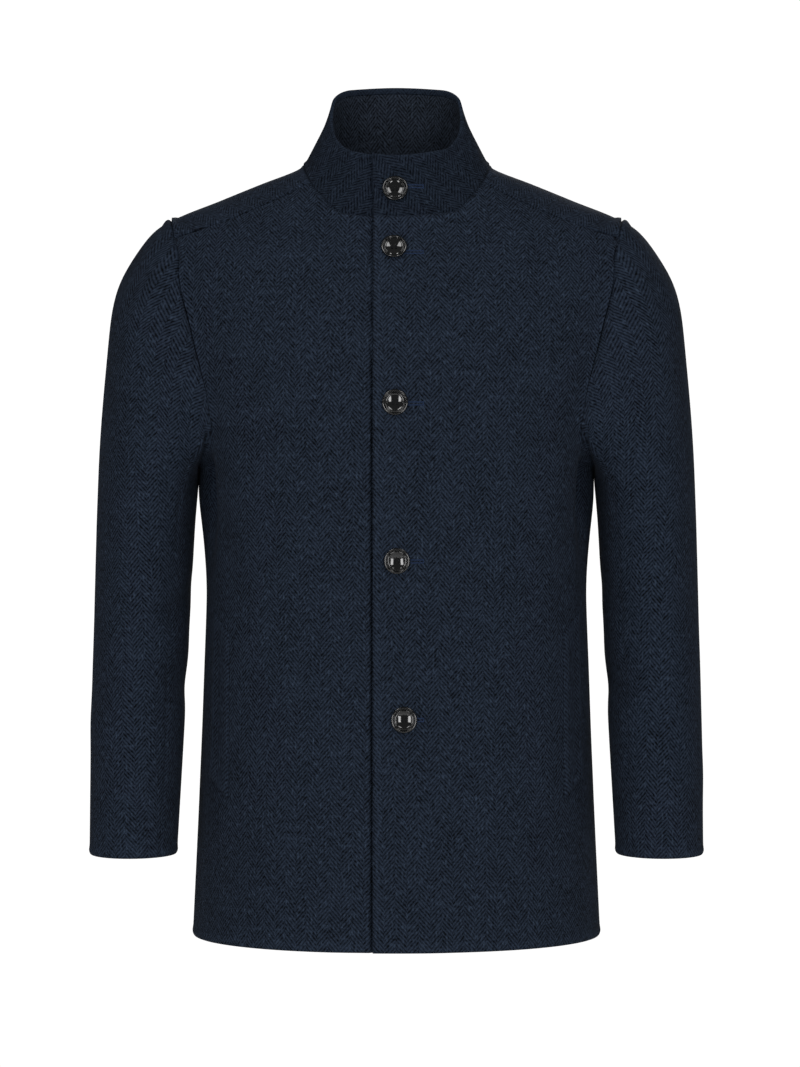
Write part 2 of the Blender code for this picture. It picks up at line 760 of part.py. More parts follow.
def facing_sheet():
    """The strip inside the back of the neck, made from the back's points moved in."""
    back, _, high = back_half()
    columns, rows = FACING_STEPS
    chosen = high[: columns + 1, -rows - 1 :]
    normals = np.array(back.normals)[chosen]
    half = Sheet()
    index = half.add_grid(np.array(back.points)[chosen] - normals * (WALL + FACING_LIFT), normals)
    half.draw_back(index[:, -1], index[:, -2], FACING_DROP)
    return half.joined(half.mirrored(), index[0], index[0])


def welt_sheet():
    """A pocket welt on the left front, made from the front's points moved out."""
    columns, rows = WELT_STEPS
    share = np.linspace(0, 1, columns + 1)[:, None]
    up = np.linspace(0, 1, rows + 1)[None]
    heights = WELT_BOTTOM + (WELT_TOP - WELT_BOTTOM) * up + WELT_SLANT * share
    angles = angle_across(WELT_FRONT_EDGE, heights) + WELT_TURN * share
    places = np.stack((angles, heights), axis=-1)
    normals = form_normal(places)
    sheet = Sheet()
    sheet.add_grid(form(places) + normals * (WELT_LIFT + WELT_WALL), normals)
    return sheet


def button_mesh(name):
    """A turned button with a raised rim and a dished middle, standing on its flat back."""
    points = [(0.0, 0.0, 0.0)]
    faces = []
    for radius, height in BUTTON_PROFILE:
        for k in range(BUTTON_SIDES):
            turn = 2 * math.pi * k / BUTTON_SIDES
            points.append((radius * math.cos(turn), radius * math.sin(turn), height))
    points.append((0.0, 0.0, BUTTON_DISH))
    top = len(points) - 1
    last = 1 + (len(BUTTON_PROFILE) - 1) * BUTTON_SIDES
    for k in range(BUTTON_SIDES):
        after = (k + 1) % BUTTON_SIDES
        faces.append((0, 1 + after, 1 + k))
        for ring in range(len(BUTTON_PROFILE) - 1):
            low, high = 1 + ring * BUTTON_SIDES, 1 + (ring + 1) * BUTTON_SIDES
            faces.append((low + k, low + after, high + after, high + k))
        faces.append((last + k, last + after, top))
    return add_object(name, points, faces, HORN)


def place_buttons():
    """The buttons: the first on the collar, the others down the left front."""
    for number, (x, height) in enumerate(BUTTON_PLACES, start=1):
        if number == 1:
            seat, outward = collar_seat(x, height)
        else:
            place = np.array((angle_across(x, height), height))
            outward = form_normal(place)
            seat = form(place) + outward * lap(x, 1)
        button = button_mesh(f"button_{number}")
        button.location = Vector(seat + outward * SEAM_GAP)
        button.rotation_mode = "QUATERNION"
        button.rotation_quaternion = Vector(outward).to_track_quat("Z", "Y")


def collar_seat(x, height):
    """The point on the collar at a distance across and a height, and its outward direction."""
    angle = float(angle_across(x, float(NECK["height"](0))))
    base, upward, outward, _ = collar_section(angle)
    return base + upward * (height - base[2]) / upward[2], outward


def build():
    """Clear the scene and make every piece."""
    for old in list(bpy.data.objects):
        bpy.data.objects.remove(old)
    add_cloth("front_left", front_half(1), WALL)
    add_cloth("front_right", front_half(-1).mirrored(), WALL)
    add_cloth("back", back_sheet(), WALL)
    for name, sheet in zip(("top", "under"), sleeve_sheets()):
        add_cloth(f"sleeve_left_{name}", sheet, WALL)
        add_cloth(f"sleeve_right_{name}", sheet.mirrored(), WALL)
    collar_leaf("collar_outer", collar_outer_outline, COLLAR_OUTER_ENDS, CLOTH)
    collar_leaf("collar_inner", collar_inner_outline, COLLAR_INNER_ENDS, CLOTH_INSIDE)
    add_cloth("back_neck_facing", facing_sheet(), FACING_WALL, CLOTH_INSIDE)
    welt = welt_sheet()
    add_cloth("pocket_welt_left", welt, WELT_WALL)
    add_cloth("pocket_welt_right", welt.mirrored(), WELT_WALL)
    place_buttons()


build()
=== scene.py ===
"""The looks of a stand-collar overcoat: herringbone wool laid over its solid pieces.

Metres, +Z up. The front faces -Y and the wearer's left is +X. Each piece of cloth is a thin shell on
the form of its solid, with seams that sink, edges that fold and the soft breaks of wool on a wearer.
"""

import math

import bmesh
import bpy
import numpy as np
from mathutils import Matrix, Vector


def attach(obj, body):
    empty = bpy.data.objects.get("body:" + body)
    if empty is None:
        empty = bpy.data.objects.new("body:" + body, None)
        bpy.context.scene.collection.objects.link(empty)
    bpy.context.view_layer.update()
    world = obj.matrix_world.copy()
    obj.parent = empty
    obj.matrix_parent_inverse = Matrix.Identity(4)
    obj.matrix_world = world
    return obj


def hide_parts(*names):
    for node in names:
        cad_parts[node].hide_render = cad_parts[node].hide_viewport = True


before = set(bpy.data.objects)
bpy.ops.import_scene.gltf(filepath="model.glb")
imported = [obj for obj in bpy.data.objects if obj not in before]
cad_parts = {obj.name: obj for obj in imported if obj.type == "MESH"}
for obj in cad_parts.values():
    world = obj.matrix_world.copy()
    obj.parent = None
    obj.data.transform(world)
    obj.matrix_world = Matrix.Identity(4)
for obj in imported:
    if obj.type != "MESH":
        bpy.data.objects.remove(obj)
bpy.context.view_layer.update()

# Cloth: its thickness, and the gap between two layers of it
WALL = 0.0026
SEAM_GAP = 0.0003

# Seams: half of their opening, how far from them the cloth starts to sink, and how deep it sinks.
# The shoulder seam starts a few lines past the neck, a sleeve's seams a share below the armhole.
SEAM_OPENING = 0.00002
SHOULDER_OPENING = 0.0006
SEAM_ROLL = 0.0036
SHOULDER_ROLL = 0.0018
SEAM_START = 3
SEAM_FROM_ARMHOLE = 0.15
SHOULDER_SINK = 0.0024
SIDE_SINK = 0.0006
SLEEVE_SINK = 0.0005

# How high the cloth rises beside the armhole and neck seams, and how far from them it is highest
BODY_RISE = 0.0034
SLEEVE_RISE = 0.0052
ARMHOLE_REACH = 0.0034
NECK_RISE = 0.0015
NECK_REACH = 0.0030

# Edges that are folded and turned in: how far and how deep they roll, and a low ridge further in
FOLD_ROLL = 0.0034
FOLD_SHARE = 0.8
COLLAR_FOLD_SHARE = 0.85
FOLD_SWELL = 0.0006
FOLD_SWELL_AT = 0.0052
FOLD_SWELL_SPREAD = 0.0030

# Painted highlight on folded edges, a lighter tone where light catches them: its share on the ridge
# beside an edge, how far it reaches down the collar, and how much it lightens the tone
RIDGE_HIGHLIGHT = 0.35
COLLAR_HIGHLIGHT_REACH = 0.0025
HIGHLIGHT_LIFT = 0.55

# Steps for measuring directions: height, degrees round a form, share of a sleeve's length
HEIGHT_STEP = 0.002
TURN_STEP = 0.46
STATION_STEP = 0.004

# Overlap of the fronts: half its width, how far each front leaves the form, and where that fades
LAP_HALF = 0.0225
LAP_SHIFT = 0.0020
LAP_FADE = 0.050

# Crease in the front below, along the edge of the one on top: place across, half width and depth,
# and the lines of the mesh that it takes
CREASE_PLACE = 0.0230
CREASE_HALF = 0.0020
CREASE = 0.0036
CREASE_LINES = (9.0, 14.5, 0.15)

# Rings of the body, from the hem to the nape. Side is the depth of the widest point.
BODY_COLUMNS = ("height", "half_width", "front", "back", "side", "power")
BODY_ROWS = (
    (-0.7660, 0.2035, -0.158, 0.134, 0.004, 2.14),
    (-0.6200, 0.1965, -0.152, 0.130, 0.002, 2.22),
    (-0.4330, 0.1885, -0.142, 0.110, 0.000, 2.30),
    (-0.3330, 0.1960, -0.144, 0.118, 0.000, 2.30),
    (-0.2920, 0.1980, -0.144, 0.122, 0.001, 2.25),
    (-0.2400, 0.2090, -0.141, 0.125, 0.002, 2.20),
    (-0.1700, 0.2320, -0.129, 0.125, 0.004, 2.15),
    (-0.1000, 0.2520, -0.105, 0.114, 0.006, 2.00),
    (-0.0700, 0.2450, -0.090, 0.104, 0.007, 1.85),
    (-0.0538, 0.2255, -0.083, 0.098, 0.008, 1.70),
    (-0.0330, 0.1755, -0.074, 0.085, 0.006, 1.60),
    (-0.0170, 0.1355, -0.066, 0.077, 0.004, 1.60),
    (-0.0022, 0.0975, -0.060, 0.070, 0.002, 1.70),
    (0.0040, 0.0885, -0.058, 0.067, 0.000, 1.90),
    (0.0340, 0.0800, -0.055, 0.061, -0.004, 2.00),
)
HEM = BODY_ROWS[0][0]

# Seam between body and collar: its height at each angle round the neck, 0 in front, 180 behind.
# The rows past both ends mirror their neighbours, so that the seam runs level there.
NECK_COLUMNS = ("angle", "height")
NECK_ROWS = (
    (-17, -0.0534),
    (0, -0.0580),
    (17, -0.0534),
    (22, -0.0467),
    (30, -0.0340),
    (49, -0.0132),
    (70, -0.0030),
    (90, 0.0020),
    (132, 0.0220),
    (180, 0.0340),
    (228, 0.0220),
)

# Armhole: round turns from the shoulder end (0) past the chest to the armpit (180). The swings
# are how far the seam lies in front of and behind the side of the body, in degrees.
ARMHOLE_TOP = -0.0538
ARMHOLE_BOTTOM = -0.2920
ARMHOLE_COLUMNS = ("turn", "front_swing", "back_swing")
ARMHOLE_ROWS = (
    (0, 0.0, 0.0),
    (31, 25.5, 24.5),
    (54, 32.0, 30.5),
    (93, 31.5, 30.0),
    (133, 29.4, 27.5),
    (150, 23.0, 21.5),
    (168, 10.8, 10.0),
    (180, 0.0, 0.0),
)

# Shoulder seam, set forward: from the neck seam at SEAM_NECK_ANGLE to the armhole at SEAM_ARM_TURN
SEAM_NECK_ANGLE = 41.6
SEAM_ARM_TURN = 42.0
SHOULDER_COLUMNS = ("share", "angle", "height")
SHOULDER_ROWS = (
    (0.30, 44.7, -0.0422),
    (0.48, 46.6, -0.0528),
    (0.70, 54.5, -0.0663),
    (0.86, 63.5, -0.0752),
)

# Sleeve below the biceps: outer and inner edge across, front and back edge in depth
SLEEVE_COLUMNS = ("height", "outer", "inner", "front", "back")
SLEEVE_ROWS = (
    (-0.316, 0.2980, 0.1980, -0.078, 0.080),
    (-0.360, 0.2992, 0.2014, -0.079, 0.073),
    (-0.450, 0.3006, 0.2052, -0.084, 0.056),
    (-0.560, 0.3020, 0.2100, -0.096, 0.030),
    (-0.681, 0.3013, 0.2156, -0.108, -0.003),
)
BICEPS = SLEEVE_ROWS[0][0]
CUFF = SLEEVE_ROWS[-1][0]
FORE_SEAM_TURN = 134.0
HIND_SEAM_TURN = 238.4

# Sleeve head: how the cloth leaves the armhole at each turn. Lean is towards the outside of the
# armhole, and the two reaches are the pulls of the curve at the seam and at the biceps. Below the
# rows: the roped ridge at the seam, and the fullness of the head.
HEAD_COLUMNS = ("turn", "lean", "seam_reach", "biceps_reach")
HEAD_ROWS = (
    (0, -22, 0.0220, 0.232),
    (45, 2, 0.0250, 0.165),
    (90, 16, 0.0280, 0.090),
    (135, 40, 0.0160, 0.035),
    (180, 75, 0.0060, 0.010),
)
ROPE_HEIGHT = 0.0035
ROPE_LENGTH = 0.13
FULLNESS = 0.0058
FULLNESS_AT = 0.60
FULLNESS_SPREAD = 0.15

# Fullness that hangs over the armpit in front: where it is, how wide, how far it comes and which way,
# and how fast it starts below the seam
DRAPE_TURN = 134.0
DRAPE_HALF_TURN = 22.0
DRAPE_STATION = 0.60
DRAPE_HALF_STATION = 0.35
DRAPE = 0.0115
DRAPE_WAY = (-1.0, -0.8, 0.0)
DRAPE_START = 3

# Soft breaks of the sleeves: where, how wide and how deep, and how they slope, on each arm.
# A row with a negative depth is a ridge.
BREAK_COLUMNS = ("turn", "height", "half_turn", "half_height", "slope", "depth")
BOTH_SLEEVE_BREAKS = (
    (120, -0.455, 55, 0.016, 0.030, 0.0040),
    (135, -0.500, 60, 0.018, -0.020, 0.0045),
    (110, -0.545, 45, 0.015, 0.025, 0.0030),
    (250, -0.430, 50, 0.020, 0.020, 0.0030),
)
LEFT_SLEEVE_BREAKS = (
    (60, -0.520, 34, 0.020, 0.016, 0.0011),
    (95, -0.392, 40, 0.014, 0.022, 0.0012),
    (280, -0.500, 45, 0.016, -0.018, 0.0016),
    (20, -0.600, 30, 0.022, 0.010, -0.0008),
)
RIGHT_SLEEVE_BREAKS = (
    (70, -0.492, 38, 0.018, 0.022, 0.0013),
    (100, -0.402, 36, 0.013, 0.020, 0.0010),
    (265, -0.520, 40, 0.018, -0.022, 0.0015),
    (30, -0.560, 34, 0.024, -0.012, -0.0009),
)

# Soft folds of the body: angle round it (the wearer's left is positive), height, tilt of the fold's
# length from upright, half its length, half its width, and depth. A negative depth is a ridge.
FOLD_COLUMNS = ("angle", "height", "tilt", "half_length", "half_width", "depth")
FOLD_ROWS = (
    (76, -0.328, 5, 0.058, 0.022, 0.0120),
    (-76, -0.331, -4, 0.056, 0.022, 0.0120),
    (72, -0.306, 5, 0.045, 0.014, 0.0120),
    (-72, -0.309, -4, 0.044, 0.014, 0.0120),
    (88, -0.490, 0, 0.075, 0.050, -0.0018),
    (-88, -0.487, 0, 0.078, 0.050, -0.0017),
    (89, -0.328, 0, 0.030, 0.030, -0.0012),
    (-89, -0.326, 0, 0.030, 0.030, -0.0016),
    (62, -0.345, 10, 0.085, 0.020, 0.0030),
    (-61, -0.352, -12, 0.078, 0.021, 0.0032),
    (48, -0.315, 24, 0.060, 0.015, -0.0012),
    (-47, -0.322, -27, 0.055, 0.016, -0.0013),
    (30, -0.560, 74, 0.070, 0.012, 0.0008),
    (-24, -0.470, -66, 0.060, 0.011, 0.0008),
    (22, -0.250, 58, 0.050, 0.010, 0.0006),
    (-35, -0.225, 20, 0.070, 0.018, 0.0010),
    (128, -0.300, -14, 0.095, 0.020, 0.0042),
    (-127, -0.310, 16, 0.085, 0.021, 0.0045),
    (146, -0.240, -20, 0.075, 0.018, -0.0016),
    (-149, -0.250, 24, 0.070, 0.017, -0.0018),
    (168, -0.420, 78, 0.080, 0.014, 0.0022),
    (-160, -0.455, -72, 0.075, 0.015, 0.0020),
    (175, -0.505, 84, 0.070, 0.013, 0.0013),
    (120, -0.640, 6, 0.120, 0.030, 0.0026),
    (-114, -0.650, -8, 0.110, 0.032, 0.0028),
    (150, -0.690, 2, 0.090, 0.028, -0.0018),
)

# About the length of a degree round the body, and how far the folds keep from the armhole
LENGTH_PER_DEGREE = 0.0030
FOLD_FREE = 0.022

# Top edge of the collar: half width, front and back depth, and its height at each angle
COLLAR_HALF_WIDTH = 0.0658
COLLAR_FRONT = -0.068
COLLAR_BACK = 0.055
COLLAR_TURN_IN_FRONT = 12.6
COLLAR_COLUMNS = ("angle", "height")
COLLAR_ROWS = (
    (-45, 0.0120),
    (0, 0.0040),
    (45, 0.0120),
    (66, 0.0260),
    (90, 0.0530),
    (107, 0.0712),
    (135, 0.0822),
    (180, 0.0867),
    (225, 0.0822),
)

# Leaves of the collar: the share of their height at which directions are taken, their walls, how far
# they stand off the neck seam, the lip that the outer one turns in with the bevel of its edge, and the
# heights and steps of their cross-sections
COLLAR_MIDDLE = 0.5
COLLAR_OUTER_WALL = 0.0020
COLLAR_INNER_WALL = 0.0014
COLLAR_DEPTH = COLLAR_OUTER_WALL + SEAM_GAP + COLLAR_INNER_WALL
COLLAR_FOOT_RISE = 0.0004
COLLAR_INNER_RISE = 0.0003
COLLAR_LIP = 0.0060
COLLAR_BEVEL_HEIGHT = 0.0010
COLLAR_BEVEL_DEPTH = 0.0005
COLLAR_INNER_ROLL = 0.0007
COLLAR_FOOT = (0.0, 0.0008, 0.0016, 0.0028, 0.0042)
COLLAR_RISES = 24
COLLAR_ROUND_STEPS = 10

# Facing inside the back of the neck: how far behind the back it lies, how far it reaches up past the
# seam, its wall and its lines
FACING_LIFT = 0.0012
FACING_CATCH = 0.0015
FACING_WALL = 0.0014
FACING_COLUMNS = 20
FACING_ROWS = 20

# Pocket welts: front edge from the centre front, height of its two ends, width round the body, slant,
# how far they lie off the front, and the wall, which is thicker at the lower end
WELT_FRONT_EDGE = 0.1626
WELT_TOP = -0.463
WELT_BOTTOM = -0.624
WELT_TURN = 13.2
WELT_SLANT = 0.021
WELT_LIFT = 0.0003
WELT_WALL = 0.0007
WELT_END_WALL = 0.0020
WELT_END_REACH = 0.035

# Buttons: place across and in height
BUTTON_PLACES = (
    (-0.0012, -0.0305),
    (-0.0023, -0.0904),
    (-0.0013, -0.2414),
    (0.0006, -0.3926),
    (0.0073, -0.5445),
)

# Button: its turned outline from the back round the rim to the middle, the dish and floor of the
# middle, its four holes and the steps of its mesh
BUTTON_ROWS = (
    (0.0095, 0.00000),
    (0.0108, 0.00025),
    (0.0119, 0.00090),
    (0.0125, 0.00190),
    (0.0124, 0.00265),
    (0.0118, 0.00330),
    (0.0110, 0.00345),
    (0.0104, 0.00310),
    (0.0100, 0.00235),
    (0.0097, 0.00220),
    (0.0092, 0.00245),
    (0.0087, 0.00270),
    (0.0081, 0.00260),
    (0.0073, 0.00222),
    (0.0064, 0.00198),
    (0.0055, 0.00177),
)
BUTTON_DISH = 0.0006
BUTTON_FLOOR = 0.0004
HOLE_AWAY = 0.0019
HOLE_RADIUS = 0.0009
BUTTON_ARC_STEPS = 16
BUTTON_SIDE_STEPS = 6
BUTTON_RING_STEPS = 4
BUTTON_OUTLINE_STEPS = 3

# Buttonholes: how far each lies above its button, both ends across, the stitches of their lips, and
# the bar that closes them
HOLE_RISES = (0.0029, -0.0046, -0.0010, -0.0005, 0.0)
HOLE_START = -0.004
HOLE_END = 0.0252
LIP_AWAY = 0.00140
STITCH_LENGTH = 0.0013
STITCH_PITCH = 0.00052
STITCH_HEIGHT = 0.00038
STITCH_GIRTH = 1.25
BAR_LENGTH = 0.0046
BAR_STITCHES = 2
BAR_SPACING = 0.8
BAR_GIRTH = 1.2
BAR_RISE = 1.3
SEAT_STEP = 0.001

# A stitch from end to end: place along it, height and girth as shares. Below: its sides, how far it
# bites into the cloth, and the width and height of the thread that holds a button.
STITCH_SECTIONS = (
    (-0.5, 0.0, 0.6),
    (-0.42, 0.75, 1.0),
    (-0.2, 1.0, 1.0),
    (0.2, 1.0, 1.0),
    (0.42, 0.75, 1.0),
    (0.5, 0.0, 0.6),
)
STITCH_SIDES = 6
STITCH_BITE = 0.0001
THREAD_WIDTH = 0.0011
THREAD_HEIGHT = 0.0006

# Herringbone: width of a column, pitch and slope of the twill. Yarns of about 0.8 mm and the lengths of
# their thick and thin places are drawn coarser than that, or they would be too fine to show. Clouds are
# the uneven tone that brushing leaves.
COLUMN = 0.0110
PITCH = 0.0043
SLOPE = 1.12
YARN = 0.0020
SLUB = 0.0055
CLOUD = 0.030

# Shares of yarn, cloud and rib in the tone of the cloth, where a rib starts and ends, the darkest and
# the lightest tone, where flecks start and are full, how strong they are, and the relief of the weave
WARP_SHARE = 1.2
CLOUD_SHARE = 0.6
RIB_SHARE = 0.85
RIB_EDGES = (0.08, 0.42)
TONES = (1.03, 2.63)
FLECK_TONES = (0.66, 0.86)
FLECK_SHARE = 0.3
RELIEF_SHARE = 0.3
RELIEF = 0.0003

# Floor, camera and lights
FLOOR = -1.50
FLOOR_SIZE = 7.0
CAMERA_PLACE = (0.0035, -3.2, -0.3665)
VIEW_HEIGHT = 1.067
SENSOR = 36.0
AIM = (0.0, 0.0, -0.35)
ROOM_GREY = 0.18
BACKDROP_WHITE = 1.05
BACKDROP_EDGES = (0.945, 0.973)
SOFTBOX_COLUMNS = ("name", "place", "width", "height", "power")
SOFTBOXES = (
    ("left key softbox", (-1.6, -2.2, 2.5), 1.2, 1.5, 37.0),
    ("right key softbox", (1.6, -2.2, 2.5), 1.2, 1.5, 37.0),
    ("left softbox", (-1.35, -3.7, -0.45), 0.6, 1.7, 33.0),
    ("right softbox", (1.35, -3.7, -0.45), 0.6, 1.7, 33.0),
    ("left strip", (-2.2, -2.2, -0.2), 0.10, 1.8, 5.0),
    ("right strip", (2.2, -2.2, -0.2), 0.10, 1.8, 5.0),
    ("back softbox", (0.6, 3.6, 1.8), 1.8, 1.2, 60.0),
)

# Steps of the meshes. Those of the body are whole numbers of PATTERN_STRIDE, on which its cut is laid
# flat; those of a sleeve's and the collar's cut are given by themselves.
NECK_FRONT_STEPS = 25
NECK_BACK_STEPS = 35
SHOULDER_STEPS = 30
ARM_FRONT_STEPS = 60
ARM_BACK_STEPS = 95
ARM_SIDE_STEPS = 20
LOWER_STEPS = 100
HEAD_STEPS = 45
ARM_STEPS = 80
SLEEVE_TOP_STEPS = 70
SLEEVE_UNDER_STEPS = 30
COLLAR_STEPS = 140
WELT_COLUMNS = 12
WELT_ROWS = 36
PATTERN_STRIDE = 5
SLEEVE_PATTERN = (12, 24)
COLLAR_PATTERN = (40, 4)
COLLAR_PATTERN_ROWS = 200
EDGE_SHARES = (0.06, 0.17, 0.36, 0.64)
CURVE_SAMPLES = 600

# Rounds for evening a grid, for laying its cut flat and settling it on the fine mesh, and their pace;
# how near two points are one; and the angle past which an edge stays sharp
EVENING_ROUNDS = 400
LAYING_ROUNDS = 900
SETTLING_ROUNDS = 150
LAYING_PACE = 1.6
SAME_POINT = 1e-6
SHARP = 50


def smooth(keys, values):
    """A smooth function through rows that rises and falls only where they do."""
    keys = np.asarray(keys, float)
    values = np.asarray(values, float)
    order = np.argsort(keys)
    keys, values = keys[order], values[order]
    spread = (-1,) + (1,) * (values.ndim - 1)
    spans = np.diff(keys).reshape(spread)
    rises = np.diff(values, axis=0) / spans
    turns = rises[:-1] * rises[1:] > 0
    total = np.where(turns, rises[:-1] + rises[1:], 1.0)
    inner = np.where(turns, 2 * rises[:-1] * rises[1:] / total, 0.0)
    slopes = np.concatenate((rises[:1], inner, rises[-1:]))

    def at(key):
        key = np.clip(key, keys[0], keys[-1])
        row = np.clip(np.searchsorted(keys, key) - 1, 0, len(keys) - 2)
        t = (key - keys[row]) / (keys[row + 1] - keys[row])
        t = np.reshape(t, np.shape(t) + (1,) * (values.ndim - 1))
        span = np.reshape(keys[row + 1] - keys[row], np.shape(t))
        start = (1 + 2 * t) * (1 - t) ** 2 * values[row] + t * (1 - t) ** 2 * span * slopes[row]
        end = t**2 * (3 - 2 * t) * values[row + 1] + t**2 * (t - 1) * span * slopes[row + 1]
        return start + end

    return at


def smooth_columns(names, rows):
    """One smooth function of the first column for each of the others."""
    columns = list(zip(*rows))
    return {name: smooth(columns[0], column) for name, column in zip(names[1:], columns[1:])}


BODY = smooth_columns(BODY_COLUMNS, BODY_ROWS)
NECK = smooth_columns(NECK_COLUMNS, NECK_ROWS)
ARMHOLE = smooth_columns(ARMHOLE_COLUMNS, ARMHOLE_ROWS)
SLEEVE = smooth_columns(SLEEVE_COLUMNS, SLEEVE_ROWS)
HEAD = smooth_columns(HEAD_COLUMNS, HEAD_ROWS)
COLLAR = smooth_columns(COLLAR_COLUMNS, COLLAR_ROWS)


def fade(value):
    """0 below 0, 1 above 1, and smooth between."""
    t = np.clip(value, 0.0, 1.0)
    return t * t * (3 - 2 * t)


def unit(vectors):
    """The vectors at length 1."""
    return vectors / np.linalg.norm(vectors, axis=-1, keepdims=True)


def form(place):
    """The body's outer surface at (angle round it in degrees, height)."""
    angle, height = place[..., 0], place[..., 1]
    turn = np.radians(angle)
    across, ahead = np.sin(turn), np.cos(turn)
    bend = 2 / BODY["power"](height)
    side = BODY["side"](height)
    depth = np.where(ahead > 0, side - BODY["front"](height), BODY["back"](height) - side)
    x = BODY["half_width"](height) * np.sign(across) * np.abs(across) ** bend
    y = side - depth * np.sign(ahead) * np.abs(ahead) ** bend
    return np.stack((x, y, height), axis=-1)


def form_normal(place):
    """The direction straight out of the body's form."""
    turn_step = np.array((TURN_STEP, 0.0))
    height_step = np.array((0.0, HEIGHT_STEP))
    round_body = form(place + turn_step) - form(place - turn_step)
    upward = form(place + height_step) - form(place - height_step)
    return unit(np.cross(round_body, upward))


def lap(x, side):
    """How far the fronts and the collar's ends leave the form near the centre front."""
    return side * LAP_SHIFT * (1 - fade((x - LAP_HALF) / LAP_FADE))


def angle_across(x, height):
    """The angle round the front of the form at a distance across."""
    share = np.abs(x) / BODY["half_width"](height)
    return np.sign(x) * np.degrees(np.arcsin(share ** (BODY["power"](height) / 2)))


def body_folds(place):
    """How far the soft folds press the body's cloth in."""
    pressed = 0.0
    for row in FOLD_ROWS:
        at = dict(zip(FOLD_COLUMNS, row))
        across = ((place[..., 0] - at["angle"] + 180) % 360 - 180) * LENGTH_PER_DEGREE
        up = place[..., 1] - at["height"]
        tilt = math.radians(at["tilt"])
        along = up * math.cos(tilt) + across * math.sin(tilt)
        beside = across * math.cos(tilt) - up * math.sin(tilt)
        shape = np.exp(-((along / at["half_length"]) ** 2) - (beside / at["half_width"]) ** 2)
        pressed = pressed + at["depth"] * shape
    return pressed


def even_steps(places, steps):
    """Places along a curve at even lengths on the form."""
    points = form(places)
    lengths = np.concatenate(((0,), np.cumsum(np.linalg.norm(np.diff(points, axis=0), axis=1))))
    wanted = np.linspace(0, lengths[-1], steps + 1)
    return np.stack([np.interp(wanted, lengths, column) for column in places.T], axis=-1)


def neck_places(first, last, steps):
    """Even steps along the neck seam between two angles."""
    angles = np.linspace(first, last, CURVE_SAMPLES)
    return even_steps(np.stack((angles, NECK["height"](np.abs(angles))), axis=-1), steps)


def folded_turn(turns):
    """Turns counted from the shoulder end down, in front of the arm or behind it."""
    return np.where(turns > 360, turns - 360, np.where(turns > 180, 360 - turns, turns))


def armhole_places(turns):
    """Places on the armhole. A turn past 180 is behind the arm, past 360 in front again."""
    turns = np.asarray(turns, float)
    folded = folded_turn(turns)
    behind = (turns > 180) & (turns <= 360)
    swing = np.where(behind, -ARMHOLE["back_swing"](folded), ARMHOLE["front_swing"](folded))
    middle = (ARMHOLE_TOP + ARMHOLE_BOTTOM) / 2
    height = middle + (ARMHOLE_TOP - middle) * np.cos(np.radians(folded))
    return np.stack((90 - swing, height), axis=-1)


ARM_FRONT_TURNS = np.linspace(SEAM_ARM_TURN, 180, ARM_FRONT_STEPS + 1)
ARM_BACK_TURNS = np.linspace(180, 360 + SEAM_ARM_TURN, ARM_BACK_STEPS + 1)


def shoulder_places():
    """Even steps along the shoulder seam, from the neck to the armhole."""
    neck_end = (0.0, SEAM_NECK_ANGLE, float(NECK["height"](SEAM_NECK_ANGLE)))
    arm_end = (1.0, *armhole_places([SEAM_ARM_TURN])[0])
    seam = smooth_columns(SHOULDER_COLUMNS, (neck_end, *SHOULDER_ROWS, arm_end))
    share = np.linspace(0, 1, CURVE_SAMPLES)
    return even_steps(np.stack((seam["angle"](share), seam["height"](share)), axis=-1), SHOULDER_STEPS)


def patch(low, high, first, last):
    """A grid of places between four edges that share their corners."""
    across = np.linspace(0, 1, len(low))[:, None, None]
    up = np.linspace(0, 1, len(first))[None, :, None]
    ruled = (1 - up) * low[:, None] + up * high[:, None]
    ruled = ruled + (1 - across) * first[None] + across * last[None]
    corners = (1 - up) * ((1 - across) * low[0] + across * low[-1])
    return ruled - corners - up * ((1 - across) * high[0] + across * high[-1])


def evened(grid):
    """A grid of places with its inner lines moved until they neither cross nor bunch up."""
    scale = np.array((LENGTH_PER_DEGREE, 1.0))
    grid = grid * scale
    for _ in range(EVENING_ROUNDS):
        before, after = grid[:-2, 1:-1], grid[2:, 1:-1]
        below, above = grid[1:-1, :-2], grid[1:-1, 2:]
        crosswise = (grid[2:, 2:] - grid[2:, :-2] - grid[:-2, 2:] + grid[:-2, :-2]) / 4
        across, up = (after - before) / 2, (above - below) / 2
        wide = np.sum(across**2, axis=-1, keepdims=True)
        high = np.sum(up**2, axis=-1, keepdims=True)
        skew = np.sum(across * up, axis=-1, keepdims=True)
        pulls = high * (before + after) + wide * (below + above) - 2 * skew * crosswise
        grid[1:-1, 1:-1] = pulls / (2 * (wide + high))
    return grid / scale


def on_lines(grid, across, up):
    """A grid read smoothly at lines between its own, given as counts of its lines."""
    grid = smooth(np.arange(grid.shape[0]), grid)(across)
    grid = np.swapaxes(grid, 0, 1)
    grid = smooth(np.arange(grid.shape[0]), grid)(up)
    return np.swapaxes(grid, 0, 1)


def evened_patch(low, high, first, last):
    """A fine grid of places between four edges, evened first on every few lines and then on all."""
    skip = slice(None, None, PATTERN_STRIDE)
    coarse = evened(patch(low[skip], high[skip], first[skip], last[skip]))
    fine = patch(low, high, first, last)
    across, up = np.arange(len(low)) / PATTERN_STRIDE, np.arange(len(first)) / PATTERN_STRIDE
    fine[1:-1, 1:-1] = on_lines(coarse, across, up)[1:-1, 1:-1]
    return evened(fine)


